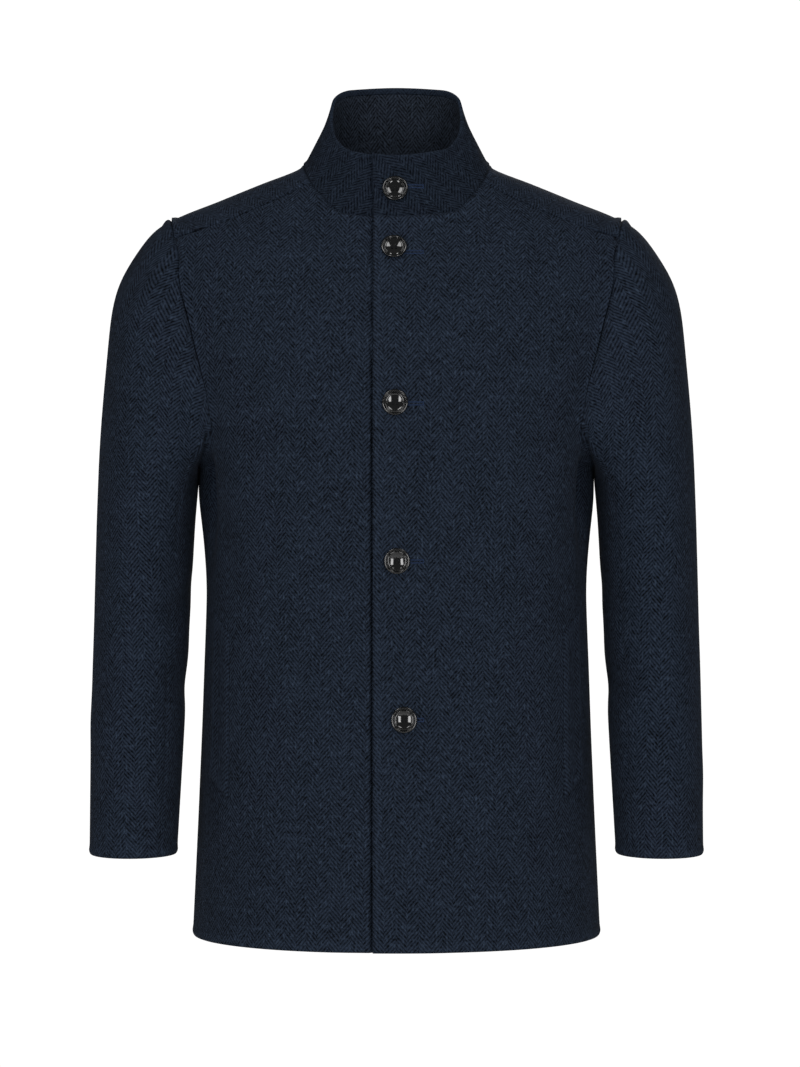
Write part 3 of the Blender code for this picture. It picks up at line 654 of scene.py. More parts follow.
def panel_grids(edge, top, arm_upper, arm_lower):
    """Two grids of places for half a body panel: hem to armpit, and from there to the shoulder.

    Edge gives the angle of the panel's first edge at a height, top runs from that edge to the
    armhole, arm_upper up the armhole to the top's end, and arm_lower from its start to the armpit.
    """
    corner = arm_upper[0]
    chest_start = np.array((edge(corner[1]), corner[1]))
    chest = even_steps(np.linspace(chest_start, corner, CURVE_SAMPLES), len(top) - 1)
    chest_line = np.concatenate((chest, arm_lower[1:]))
    hem_start = np.array((edge(HEM), HEM))
    hem_end = np.array((arm_lower[-1][0], HEM))
    hem = even_steps(np.linspace(hem_start, hem_end, CURVE_SAMPLES), len(chest_line) - 1)
    lower_heights = np.linspace(HEM, corner[1], LOWER_STEPS + 1)
    lower_edge = np.stack(([edge(h) for h in lower_heights], lower_heights), axis=-1)
    side_seam = np.linspace(hem_end, arm_lower[-1], LOWER_STEPS + 1)
    upper_heights = np.linspace(corner[1], top[0][1], len(arm_upper))
    upper_edge = np.stack(([edge(h) for h in upper_heights], upper_heights), axis=-1)
    lower = patch(hem, chest_line, lower_edge, side_seam)
    return lower, evened_patch(chest, top, upper_edge, arm_upper)


def front_grids():
    """The grids of a front, on the wearer's left."""
    corner = ARM_FRONT_STEPS - ARM_SIDE_STEPS
    edge_angle = float(angle_across(-LAP_HALF, float(NECK["height"](0))))
    neck = neck_places(edge_angle, SEAM_NECK_ANGLE, NECK_FRONT_STEPS)
    return panel_grids(
        lambda height: float(angle_across(-LAP_HALF, height)),
        np.concatenate((neck, shoulder_places()[1:])),
        armhole_places(ARM_FRONT_TURNS[: corner + 1][::-1]),
        armhole_places(ARM_FRONT_TURNS[corner:]),
    )


def back_grids():
    """The grids of the wearer's left half of the back."""
    neck = neck_places(180, SEAM_NECK_ANGLE, NECK_BACK_STEPS)
    return panel_grids(
        lambda height: 180.0,
        np.concatenate((neck, shoulder_places()[1:])),
        armhole_places(ARM_BACK_TURNS[ARM_SIDE_STEPS:]),
        armhole_places(ARM_BACK_TURNS[: ARM_SIDE_STEPS + 1][::-1]),
    )


def rise(distance, height, reach):
    """How far the cloth rises beside a seam that stays where it is."""
    share = (distance / reach) ** 2
    return height * share * np.exp(1 - share)


def sunk(distance, depth, reach=SEAM_ROLL):
    """How far the cloth sinks into a seam that is pressed open."""
    return depth * np.clip(1 - (distance / reach) ** 2, 0, 1) ** 2


def lines(steps, first=False, last=False):
    """Whole steps, with a few more lines close to the edges that sink or fold."""
    close = np.array(EDGE_SHARES)
    near = close if first else np.array(())
    far = steps - close if last else np.array(())
    return np.sort(np.concatenate((np.arange(steps + 1), near, far)))


def runs(points, axis, back=False):
    """Length along the cloth from the first line of a grid, or back from the last one."""
    steps = np.linalg.norm(np.diff(points, axis=axis), axis=-1)
    start = np.zeros_like(np.take(steps, [0], axis=axis))
    length = np.concatenate((start, np.cumsum(steps, axis=axis)), axis=axis)
    return np.take(length, [-1], axis=axis) - length if back else length


class Cloth:
    """A cut piece: its points, outward directions and flat places, how far it sinks into a seam at each
    point, and how far that lies from a folded edge."""

    def __init__(self):
        self.points = np.zeros((0, 3))
        self.normals = np.zeros((0, 3))
        self.flat = np.zeros((0, 2))
        self.sink = np.zeros(0)
        self.fold = np.zeros(0)
        self.quads = []

    def add_grid(self, points, normals, flat, sink, fold, first_row=None):
        """Add a grid and return its indices. A first row that is there already is shared."""
        wide, high = points.shape[:2]
        index = np.full((wide, high), -1)
        start = 0
        if first_row is not None:
            index[:, 0] = first_row
            start = 1
        count = wide * (high - start)
        index[:, start:] = len(self.points) + np.arange(count).reshape(wide, high - start)
        self.points = np.concatenate((self.points, points[:, start:].reshape(-1, 3)))
        self.normals = np.concatenate((self.normals, normals[:, start:].reshape(-1, 3)))
        self.flat = np.concatenate((self.flat, flat[:, start:].reshape(-1, 2)))
        self.sink = np.concatenate((self.sink, sink[:, start:].ravel()))
        self.fold = np.concatenate((self.fold, fold[:, start:].ravel()))
        corners = (index[:-1, :-1], index[1:, :-1], index[1:, 1:], index[:-1, 1:])
        self.quads += [tuple(quad) for quad in np.stack(corners, axis=-1).reshape(-1, 4).tolist()]
        return index

    def draw_back(self, edge, inner, opening=SEAM_OPENING):
        """Move edge points a little towards the next line, so that no two pieces touch in a seam."""
        self.points[edge] += unit(self.points[inner] - self.points[edge]) * opening

    def mirrored(self):
        """The same piece on the other side of the body."""
        other = Cloth()
        flip = np.array((-1.0, 1.0, 1.0))
        other.points, other.normals = self.points * flip, self.normals * flip
        other.flat = self.flat * flip[:2]
        other.sink, other.fold = self.sink, self.fold
        other.quads = [quad[::-1] for quad in self.quads]
        return other

    def joined(self, other, shared):
        """Both pieces as one, with the shared points taken from this one."""
        both = Cloth()
        fresh = np.setdiff1d(np.arange(len(other.points)), shared)
        known = np.zeros(len(other.points), int)
        known[shared] = shared
        known[fresh] = len(self.points) + np.arange(len(fresh))
        for name in ("points", "normals", "flat", "sink", "fold"):
            setattr(both, name, np.concatenate((getattr(self, name), getattr(other, name)[fresh])))
        both.quads = self.quads + [tuple(known[list(quad)].tolist()) for quad in other.quads]
        return both


def laid_flat(points, quads, start, rounds=LAYING_ROUNDS):
    """The piece as it was cut: its points in a plane, with the lengths between them kept."""
    quads = np.array(quads)
    pairs = [quads[:, (a, b)] for a, b in ((0, 1), (1, 2), (2, 3), (3, 0), (0, 2), (1, 3))]
    pairs = np.unique(np.sort(np.concatenate(pairs), axis=1), axis=0)
    a, b = pairs.T
    count = len(points)
    lengths = np.linalg.norm(points[b] - points[a], axis=1)
    ties = np.bincount(pairs.ravel(), minlength=count)
    flat = start.copy()
    for _ in range(rounds):
        step = flat[b] - flat[a]
        pull = step * (0.5 - 0.5 * lengths / np.linalg.norm(step, axis=1))[:, None]
        for axis in (0, 1):
            move = np.bincount(a, pull[:, axis], count) - np.bincount(b, pull[:, axis], count)
            flat[:, axis] += LAYING_PACE * move / ties
    return flat


def upright(flat, low, high):
    """Flat places turned so that the line from one point to another runs straight up."""
    along = flat[high] - flat[low]
    turn = math.atan2(along[0], along[1])
    rotation = np.array(((math.cos(turn), -math.sin(turn)), (math.sin(turn), math.cos(turn))))
    return (flat - flat[low]) @ rotation.T


def panel_pattern(lower, upper):
    """Flat places of a body panel's two grids, on every few of their lines."""
    skip = slice(None, None, PATTERN_STRIDE)
    lower, upper = form(lower)[skip, skip], form(upper)[skip, skip]
    low_across, low_up = runs(lower, 0), runs(lower, 1)
    high_across = runs(upper, 0)
    high_up = runs(upper, 1) + low_up[: len(upper), -1:]
    cut = Cloth()
    blank = np.zeros(lower.shape[:2])
    start = np.stack((low_across, low_up), -1)
    low = cut.add_grid(lower, lower, start, blank, blank)
    blank = np.zeros(upper.shape[:2])
    start = np.stack((high_across, high_up), -1)
    high = cut.add_grid(upper, upper, start, blank, blank, low[: len(upper), -1])
    flat = upright(laid_flat(cut.points, cut.quads, cut.flat), low[0, 0], low[0, -1])
    return flat[low], flat[high]


def half_panel(places, pattern, side, front, mirror):
    """Half a body panel. Side is 1 on top of the overlap, -1 under it and 0 away from it."""
    lower, upper = places
    columns, rows = upper.shape[0] - 1, upper.shape[1] - 1
    neck_steps = columns - SHOULDER_STEPS
    across = lines(columns, front, True)
    if side < 0:
        across = np.union1d(across, np.arange(*CREASE_LINES))
    side_lines = columns + lines(lower.shape[0] - 1 - columns, False, True)[1:]
    cloth = Cloth()
    first_row = None
    grids = []
    parts = (
        (lower, pattern[0], np.concatenate((across, side_lines)), lines(LOWER_STEPS, True, True)),
        (upper, pattern[1], across, lines(rows, False, True)),
    )
    for number, (places, flat, wide, high) in enumerate(parts):
        places = on_lines(places, wide, high)
        base = form(places)
        normals = form_normal(places)
        if number == 0:
            sink = sunk(runs(base, 0, True), SIDE_SINK)
            fold = runs(base, 1)
            beside = np.zeros(sink.shape)
            beside[: len(across)] = runs(base[: len(across)], 0, True)
            arm = np.hypot(beside, runs(base, 1, True))
            neck = np.ones(sink.shape)
        else:
            past_neck = fade((across - neck_steps) / SEAM_START)[:, None]
            arm = runs(base, 0, True)
            neck = runs(base, 1, True) + past_neck
            sink = sunk(runs(base, 1, True), SHOULDER_SINK, SHOULDER_ROLL) * past_neck
            sink = sink * fade(arm / FOLD_FREE)
            fold = np.ones(sink.shape)
        shift = lap(base[..., 0], side)
        if side < 0:
            shift = shift - CREASE * np.exp(-(((base[..., 0] - CREASE_PLACE) / CREASE_HALF) ** 2))
        shift = shift - body_folds(places * np.array((mirror, 1.0))) * fade(arm / FOLD_FREE)
        shift = shift + rise(arm, BODY_RISE, ARMHOLE_REACH) + rise(neck, NECK_RISE, NECK_REACH)
        points = base + normals * shift[..., None]
        if front:
            fold = np.minimum(fold, runs(points, 0))
        laid = on_lines(flat, wide / PATTERN_STRIDE, high / PATTERN_STRIDE)
        index = cloth.add_grid(points, normals, laid, sink, fold, first_row)
        first_row = index[: len(across), -1]
        grids.append(index)
    low, high = grids
    shoulder = across > neck_steps
    cloth.draw_back(low[-1], low[-2])
    cloth.draw_back(high[shoulder, -1], high[shoulder, -2], SHOULDER_OPENING)
    cloth.flat = laid_flat(cloth.points, cloth.quads, cloth.flat, SETTLING_ROUNDS)
    return cloth, np.concatenate((low[0], high[0, 1:]))


def sleeve_ring(turn, height):
    """A ring of the sleeve below the biceps. Turn 0 is outside, 90 in front, 180 at the body."""
    round_arm = np.radians(turn)
    outer, inner = SLEEVE["outer"](height), SLEEVE["inner"](height)
    front, back = SLEEVE["front"](height), SLEEVE["back"](height)
    x = (outer + inner) / 2 + (outer - inner) / 2 * np.cos(round_arm)
    y = (front + back) / 2 - (back - front) / 2 * np.sin(round_arm)
    return np.stack(np.broadcast_arrays(x, y, height), axis=-1)


def sleeve_breaks(turn, height, rows):
    """How far the soft breaks press the sleeve in."""
    pressed = 0.0
    for row in rows:
        at = dict(zip(BREAK_COLUMNS, row))
        away = (turn - at["turn"] + 180) % 360 - 180
        away = away / at["half_turn"]
        middle = at["height"] + at["slope"] * away
        along = (height - middle) / at["half_height"]
        pressed = pressed + at["depth"] * np.exp(-(away**2) - along**2)
    return pressed


def sleeve_head(turn, share):
    """The sleeve between the armhole (share 0) and the biceps (share 1)."""
    folded = folded_turn(turn)
    round_arm = np.radians(turn)
    forward, above = np.sin(round_arm), np.cos(round_arm)
    seam = form(armhole_places(turn))
    biceps = sleeve_ring(turn, np.full_like(turn, BICEPS))
    lower = sleeve_ring(turn, np.full_like(turn, BICEPS - HEIGHT_STEP))
    upward = unit(biceps - lower)
    lean = np.radians(HEAD["lean"](folded))
    outward = np.stack((np.cos(lean), -np.sin(lean) * forward, np.sin(lean) * above), axis=-1)
    leaving = seam + outward * HEAD["seam_reach"](folded)[..., None]
    arriving = biceps + upward * HEAD["biceps_reach"](folded)[..., None]
    t = share[..., None]
    start = (1 - t) ** 3 * seam + 3 * (1 - t) ** 2 * t * leaving
    point = start + 3 * (1 - t) * t**2 * arriving + t**3 * biceps
    fullness = np.exp(-(((share - FULLNESS_AT) / FULLNESS_SPREAD) ** 2))
    ridge = np.sin(np.pi * np.clip(share / ROPE_LENGTH, 0, 1))
    point[..., 0] += FULLNESS * fade(above) * fullness
    point[..., 2] += ROPE_HEIGHT * fade(above) * ridge
    return point


def sleeve(turn, station, breaks=BOTH_SLEEVE_BREAKS):
    """The sleeve's outer surface. Station 0 is the armhole, 1 the biceps and 2 the cuff."""
    turn, station = np.broadcast_arrays(np.asarray(turn, float), np.asarray(station, float))
    head = sleeve_head(turn, np.clip(station, 0, 1))
    height = BICEPS + (CUFF - BICEPS) * np.clip(station - 1, 0, 1)
    arm = sleeve_ring(turn, height)
    middle = sleeve_ring(turn, height) + sleeve_ring(turn + 180, height)
    inward = unit(middle / 2 - arm)
    arm = arm + inward * sleeve_breaks(turn, height, breaks)[..., None]
    point = np.where((station <= 1)[..., None], head, arm)
    beside = ((turn - DRAPE_TURN + 180) % 360 - 180) / DRAPE_HALF_TURN
    along = (station - DRAPE_STATION) / DRAPE_HALF_STATION
    hang = DRAPE * np.exp(-(beside**2) - along**2) * fade(station * DRAPE_START)
    return point + hang[..., None] * np.array(DRAPE_WAY)


def sleeve_normal(turn, station, breaks=BOTH_SLEEVE_BREAKS):
    """The direction straight out of the sleeve."""
    turn, station = np.broadcast_arrays(np.asarray(turn, float), np.asarray(station, float))
    low, high = np.clip(station - STATION_STEP, 0, 2), np.clip(station + STATION_STEP, 0, 2)
    along = sleeve(turn, high, breaks) - sleeve(turn, low, breaks)
    around = sleeve(turn + TURN_STEP, station, breaks) - sleeve(turn - TURN_STEP, station, breaks)
    return unit(np.cross(around, along))


def sleeve_piece(first, last, steps, breaks):
    """A sleeve's top or under piece, between two turns, on the wearer's left arm."""
    head = lines(HEAD_STEPS, True, False) / HEAD_STEPS
    arm = 1 + lines(ARM_STEPS, False, True)[1:] / ARM_STEPS
    stations = np.concatenate((head, arm))
    across = lines(steps, True, True) / steps
    turns, places = np.meshgrid(first + (last - first) * across, stations, indexing="ij")
    points = sleeve(turns, places, breaks)
    normals = sleeve_normal(turns, places, breaks)
    sink = sunk(np.minimum(runs(points, 0), runs(points, 0, True)), SLEEVE_SINK)
    sink = sink * fade(stations / SEAM_FROM_ARMHOLE)
    roped = fade(2 * np.cos(np.radians(turns)))
    risen = rise(runs(points, 1), SLEEVE_RISE, ARMHOLE_REACH) * (1 - roped)
    points = points + normals * risen[..., None]
    flat = sleeve_pattern(first, last, across, stations)
    cloth = Cloth()
    index = cloth.add_grid(points, normals, flat, sink, runs(points, 1, True))
    cloth.draw_back(index[0, 1:], index[1, 1:])
    cloth.draw_back(index[-1, 1:], index[-2, 1:])
    cloth.flat = laid_flat(cloth.points, cloth.quads, cloth.flat, SETTLING_ROUNDS)
    return cloth


def facing_half(places, pattern, mirror):
    """Half of the strip inside the back of the neck, on the back's own lines moved in."""
    rows = places.shape[1] - 1
    across = lines(FACING_COLUMNS, False, True)
    up = rows - FACING_ROWS + lines(FACING_ROWS, True, False)
    flat = on_lines(pattern, across / PATTERN_STRIDE, up / PATTERN_STRIDE)
    places = on_lines(places, across, up)
    normals = form_normal(places)
    inside = WALL + FACING_LIFT + body_folds(places * np.array((mirror, 1.0)))
    points = form(places) - normals * inside[..., None]
    points = np.concatenate((points, points[:, -1:] + np.array((0, 0, FACING_CATCH))), axis=1)
    normals = np.concatenate((normals, normals[:, -1:]), axis=1)
    flat = np.concatenate((flat, flat[:, -1:] + np.array((0, FACING_CATCH))), axis=1)
    edge = np.minimum(runs(points, 0, True), runs(points, 1))
    cloth = Cloth()
    index = cloth.add_grid(points, normals, flat, np.zeros(edge.shape), edge)
    return cloth, index[0]


def welt_piece(mirror):
    """A pocket welt, on the left front's form moved out."""
    share = lines(WELT_COLUMNS, True, True)[:, None] / WELT_COLUMNS
    up = lines(WELT_ROWS, True, True)[None] / WELT_ROWS
    heights = WELT_BOTTOM + (WELT_TOP - WELT_BOTTOM) * up + WELT_SLANT * share
    angles = angle_across(WELT_FRONT_EDGE, heights) + WELT_TURN * share
    places = np.stack((angles, heights), axis=-1)
    normals = form_normal(places)
    end = 1 - fade((heights - heights[:, :1]) / WELT_END_REACH)
    wall = WELT_WALL + (WELT_END_WALL - WELT_WALL) * end
    out = WELT_LIFT + wall - body_folds(places * np.array((mirror, 1.0)))
    points = form(places) + normals * out[..., None]
    edges = [runs(points, axis, back) for axis in (0, 1) for back in (False, True)]
    flat = np.stack((runs(points, 0), runs(points, 1)), axis=-1)
    cloth = Cloth()
    cloth.add_grid(points, normals, flat, np.zeros(wall.shape), np.min(edges, axis=0))
    return cloth, wall.ravel()


def sleeve_pattern(first, last, across, stations):
    """Flat places of a sleeve piece, laid out on a few lines and read at the given ones."""
    wide, high = SLEEVE_PATTERN
    turns, places = np.meshgrid(
        np.linspace(first, last, wide + 1), np.linspace(0, 2, high + 1), indexing="ij"
    )
    points = sleeve(turns, places)
    sideways = runs(points, 0)
    sideways = sideways - sideways[-1:] / 2
    downward = -runs(points, 1)
    downward = downward - downward[:, -1:]
    cut = Cloth()
    blank = np.zeros(points.shape[:2])
    index = cut.add_grid(points, points, np.stack((sideways, downward), -1), blank, blank)
    middle = index[wide // 2]
    flat = upright(laid_flat(cut.points, cut.quads, cut.flat), middle[-1], middle[high // 2])
    return on_lines(flat[index], across * wide, stations / 2 * high)


def collar_angles():
    """Angles round the neck seam, from the end of the collar on top to the end under it."""
    edge_angle = float(angle_across(-LAP_HALF, float(NECK["height"](0))))
    half = COLLAR_STEPS // 2
    left = neck_places(edge_angle, 180, half)[:, 0]
    close = edge_angle + (left[1] - edge_angle) * np.array(EDGE_SHARES)
    left = np.sort(np.concatenate((left, close)))
    return np.concatenate((left, 360 - left[-2::-1]))


def collar_point(angle, share):
    """The collar's outer surface: share 0 on the neck seam, 1 at the top edge."""
    folded = np.where(angle > 180, 360 - angle, angle)
    place = np.stack((angle, NECK["height"](np.abs(folded))), axis=-1)
    base = form(place)
    plan = np.degrees(np.arctan2(base[..., 0], -base[..., 1]))
    plan = plan + COLLAR_TURN_IN_FRONT * np.sin(2 * np.radians(plan))
    turn = np.radians(plan)
    middle = (COLLAR_FRONT + COLLAR_BACK) / 2
    depth = (COLLAR_BACK - COLLAR_FRONT) / 2
    x = COLLAR_HALF_WIDTH * np.sin(turn)
    y = middle - depth * np.cos(turn)
    top = np.stack((x, y, COLLAR["height"](np.abs(plan))), axis=-1)
    share = np.asarray(share)[..., None]
    return base + (top - base) * share


def collar_section(angle):
    """Base, direction up, direction out and height of the collar at an angle."""
    base, top = collar_point(angle, 0.0), collar_point(angle, 1.0)
    before, after = angle - TURN_STEP, angle + TURN_STEP
    along = collar_point(after, COLLAR_MIDDLE) - collar_point(before, COLLAR_MIDDLE)
    height = np.linalg.norm(top - base)
    upward = (top - base) / height
    outward = unit(np.cross(along, upward))
    side = 1 if angle < 180 else -1
    shift = lap(side * base[0], side) if base[1] < 0 else 0.0
    return base + outward * shift, upward, outward, height


def bullnose(distance, wall):
    """How far both faces of a folded edge draw together near it."""
    reach = np.clip(1 - distance / (wall / 2), 0, 1)
    return COLLAR_FOLD_SHARE * wall / 2 * (1 - np.sqrt(1 - reach**2))


def rolled(distance, wall):
    """How far the outer face of a folded edge rolls in towards it."""
    reach = np.clip(1 - distance / FOLD_ROLL, 0, 1)
    return FOLD_SHARE * wall * (1 - np.sqrt(1 - reach**2))


def swell(distance):
    """The ridge a little way in from a folded edge, where the turned-in cloth ends."""
    return FOLD_SWELL * np.exp(-(((distance - FOLD_SWELL_AT) / FOLD_SWELL_SPREAD) ** 2))


def collar_outer_outline(height, away):
    """Up the outside, over a round top edge, down to the lip inside, and back inside the fold."""
    close, ridge = bullnose(away, COLLAR_OUTER_WALL), swell(away)
    radius = COLLAR_DEPTH / 2
    section = []
    for up in (*COLLAR_FOOT, *np.linspace(COLLAR_FOOT[-1], height - radius, COLLAR_RISES)[1:]):
        section.append((up, close - ridge - rise(up, NECK_RISE, NECK_REACH)))
    for turn in np.linspace(0, math.pi, COLLAR_ROUND_STEPS)[1:-1]:
        section.append((height - radius + radius * math.sin(turn), radius - radius * math.cos(turn)))
    section.append((height - radius, COLLAR_DEPTH))
    section.append((height - COLLAR_LIP + COLLAR_BEVEL_HEIGHT, COLLAR_DEPTH))
    section.append((height - COLLAR_LIP, COLLAR_DEPTH - COLLAR_BEVEL_DEPTH))
    section.append((height - COLLAR_LIP, COLLAR_OUTER_WALL - close))
    section.append((COLLAR_FOOT_RISE, COLLAR_OUTER_WALL - close))
    return section


def collar_inner_outline(height, away):
    """The inner leaf, behind the outer one and up to its lip, where it rolls into the seam."""
    top = height - COLLAR_LIP - 2 * SEAM_GAP
    front = COLLAR_OUTER_WALL + SEAM_GAP
    close = bullnose(away, COLLAR_INNER_WALL)
    section = [(COLLAR_INNER_RISE, front + close), (top, front + close)]
    for drop in COLLAR_FOOT:
        roll = COLLAR_INNER_ROLL * (1 - drop / COLLAR_FOOT[-1]) ** 2
        section.append((top - drop, COLLAR_DEPTH - close - roll))
    for up in np.linspace(top - COLLAR_FOOT[-1], COLLAR_INNER_RISE, COLLAR_RISES)[1:]:
        section.append((up, COLLAR_DEPTH - close))
    return section


def collar_highlight(drop, inside):
    """How much painted highlight lightens the collar at a drop below its top edge, where light falls on
    the roll: most on the fold and its lip.
    """
    if inside > COLLAR_OUTER_WALL + SEAM_GAP and drop > COLLAR_LIP:
        return 0.0
    if inside > COLLAR_OUTER_WALL:
        return 1.0
    return math.exp(-((drop / COLLAR_HIGHLIGHT_REACH) ** 2))


def collar_pattern(angles, shares):
    """Flat places of the collar, laid out on a few lines and read at the given angles and shares."""
    wide, high = COLLAR_PATTERN
    last = COLLAR_PATTERN_ROWS - 1
    count = np.arange(len(angles))
    few = np.interp(np.linspace(0, len(angles) - 1, wide + 1), count, angles)
    grid, share = np.meshgrid(few, np.linspace(0, 1, high + 1), indexing="ij")
    points = collar_point(grid, share)
    sideways = runs(points, 0)
    sideways = sideways - sideways[wide // 2]
    cut = Cloth()
    blank = np.zeros(points.shape[:2])
    index = cut.add_grid(points, points, np.stack((sideways, runs(points, 1)), -1), blank, blank)
    middle = index[wide // 2]
    flat = upright(laid_flat(cut.points, cut.quads, cut.flat), middle[0], middle[-1])
    up = np.linspace(0, high, COLLAR_PATTERN_ROWS)
    places = on_lines(flat[index], count * wide / (len(angles) - 1), up)
    rows = np.clip(np.rint(shares * last).astype(int), 0, last)
    return np.take_along_axis(places, rows[..., None], axis=1)


def collar_leaf(name, outline, finish):
    """A collar leaf: its cross-section, in heights and depths, carried round the neck."""
    angles = collar_angles()
    middles = np.array([collar_point(angle, COLLAR_MIDDLE) for angle in angles])
    length = np.concatenate(((0,), np.cumsum(np.linalg.norm(np.diff(middles, axis=0), axis=1))))
    away = np.minimum(length, length[-1] - length)
    points, shares, painted_highlight = [], [], []
    for angle, end in zip(angles, away):
        base, upward, outward, height = collar_section(angle)
        section = outline(height, end)
        points.append([base + upward * up - outward * inside for up, inside in section])
        shares.append([up / height for up, _ in section])
        painted_highlight += [collar_highlight(height - up, inside) for up, inside in section]
    points, shares = np.array(points), np.array(shares)
    flat = collar_pattern(angles, shares)
    rings, sides = shares.shape
    index = np.arange(rings * sides).reshape(rings, sides)
    after = np.roll(index, -1, axis=1)
    walls = np.stack((index[:-1], after[:-1], after[1:], index[1:]), axis=-1)
    faces = [tuple(quad) for quad in walls.reshape(-1, 4).tolist()]
    faces += [tuple(index[0].tolist()), tuple(index[-1].tolist())]
    return add_piece(name, points.reshape(-1, 3), faces, finish, flat.reshape(-1, 2), painted_highlight)


def add_piece(name, points, faces, finish, flat=None, painted_highlight=None):
    """A piece with its faces turned outward, shaded smoothly, and laid out as cut if it is cloth."""
    mesh = bpy.data.meshes.new(name)
    mesh.from_pydata([tuple(point) for point in np.asarray(points).tolist()], [], faces)
    if flat is not None:
        layer = mesh.uv_layers.new(name="cut")
        corners = np.zeros(len(mesh.loops), int)
        mesh.loops.foreach_get("vertex_index", corners)
        layer.data.foreach_set("uv", np.asarray(flat)[corners].ravel())
        mesh.attributes.new("painted_highlight", "FLOAT", "POINT").data.foreach_set("value", painted_highlight)
    work = bmesh.new()
    work.from_mesh(mesh)
    many_sided = [face for face in work.faces if len(face.verts) > 4]
    bmesh.ops.triangulate(work, faces=many_sided, ngon_method="EAR_CLIP")
    bmesh.ops.remove_doubles(work, verts=work.verts, dist=SAME_POINT)
    bmesh.ops.recalc_face_normals(work, faces=work.faces)
    work.to_mesh(mesh)
    work.free()
    mesh.polygons.foreach_set("use_smooth", [True] * len(mesh.polygons))
    mesh.set_sharp_from_angle(angle=math.radians(SHARP))
    mesh.materials.append(finish)
    piece = bpy.data.objects.new(name, mesh)
    bpy.context.scene.collection.objects.link(piece)
    return piece


def add_cloth(name, cloth, wall, finish):
    """A cut piece as a closed shell: its outer face, its inner face and the rim between them."""
    close = rolled(cloth.fold, wall)
    outer = cloth.points + cloth.normals * (swell(cloth.fold) - cloth.sink - close)[:, None]
    inner = cloth.points - cloth.normals * np.broadcast_to(wall, len(cloth.points))[:, None]
    count = len(cloth.points)
    faces = cloth.quads + [tuple(k + count for k in quad[::-1]) for quad in cloth.quads]
    sides = {(quad[k - 1], quad[k]) for quad in cloth.quads for k in range(4)}
    for a, b in sides:
        if (b, a) not in sides:
            faces.append((b, a, a + count, b + count))
    flat = np.concatenate((cloth.flat, cloth.flat))
    # Painted highlight on the outer face along the ridge beside a folded edge, where light catches it
    painted_highlight = RIDGE_HIGHLIGHT * swell(cloth.fold) / FOLD_SWELL
    painted_highlight = np.concatenate((painted_highlight, 0 * painted_highlight))
    return add_piece(name, np.concatenate((outer, inner)), faces, finish, flat, painted_highlight)


def cut_size(piece):
    """Width, length and area of a piece as it was cut, from the outer half of its flat places."""
    mesh = piece.data
    flat = np.zeros(2 * len(mesh.loops))
    mesh.uv_layers["cut"].data.foreach_get("uv", flat)
    flat = flat.reshape(-1, 2)
    area = 0.0
    for face in mesh.polygons:
        x, y = flat[list(face.loop_indices)].T
        area += abs(np.dot(x, np.roll(y, -1)) - np.dot(y, np.roll(x, -1))) / 4
    width, length = np.ptp(flat, axis=0)
    return (round(float(width), 3), round(float(length), 3)), round(float(area), 4)


def front_seat(x, height):
    """The point on the left front at a distance across and a height, and its outward direction."""
    place = np.array((float(angle_across(x, height)), height))
    outward = form_normal(place)
    return form(place) + outward * (lap(x, 1) - body_folds(place)), outward


def collar_seat(x, height):
    """The point on the collar at a distance across and a height, and its outward direction."""
    angle = float(angle_across(x, float(NECK["height"](0))))
    base, upward, outward, _ = collar_section(angle)
    return base + upward * (height - base[2]) / upward[2], outward


def button_form():
    """Points and faces of a turned button with a raised rim, a dished middle and four holes."""
    rows = np.array(BUTTON_ROWS)
    steps = np.linspace(0, len(rows) - 1, (len(rows) - 1) * BUTTON_OUTLINE_STEPS + 1)
    outline = smooth(np.arange(len(rows)), rows)(steps)
    edge, level = outline[-1]
    arc = np.radians(np.linspace(0, 90, BUTTON_ARC_STEPS + 1))
    bow = np.stack((np.cos(arc), np.sin(arc)), axis=-1)
    along = np.linspace(0, 1, BUTTON_SIDE_STEPS + 1)[:, None]
    down = (1 - along) * np.array((0.0, edge))
    out = along * np.array((edge, 0.0))
    rim = np.concatenate((bow * edge, down[1:], out[1:]))
    hole = np.array((HOLE_AWAY, HOLE_AWAY))
    ray = unit(rim - hole)
    share = np.linspace(0, 1, BUTTON_RING_STEPS + 1)[:, None, None]
    web = (1 - share) * rim + share * (hole + ray * HOLE_RADIUS)
    sag = BUTTON_DISH * (1 - np.sum(web**2, axis=-1, keepdims=True) / edge**2)
    web = np.concatenate((web, level - sag), axis=-1)
    floor = np.append(hole, BUTTON_FLOOR)
    lower = floor + np.append(ray * HOLE_RADIUS, 0 * ray[:, :1], axis=-1)
    rings = [*web, lower, np.tile(floor, (len(rim), 1))]
    turned = [np.zeros((len(bow), 3))]
    for radius, height in outline:
        turned.append(np.append(bow * radius, np.full((len(bow), 1), height), axis=-1))
    points, faces = [], []
    for flip in ((1, 1, 1), (-1, 1, 1), (-1, -1, 1), (1, -1, 1)):
        for grid in (np.array(rings), np.array(turned)):
            index = len(points) + np.arange(grid.shape[0] * grid.shape[1]).reshape(grid.shape[:2])
            points += list(grid.reshape(-1, 3) * np.array(flip))
            corners = (index[:-1, :-1], index[1:, :-1], index[1:, 1:], index[:-1, 1:])
            faces += [tuple(quad) for quad in np.stack(corners, axis=-1).reshape(-1, 4).tolist()]
    return np.array(points), faces


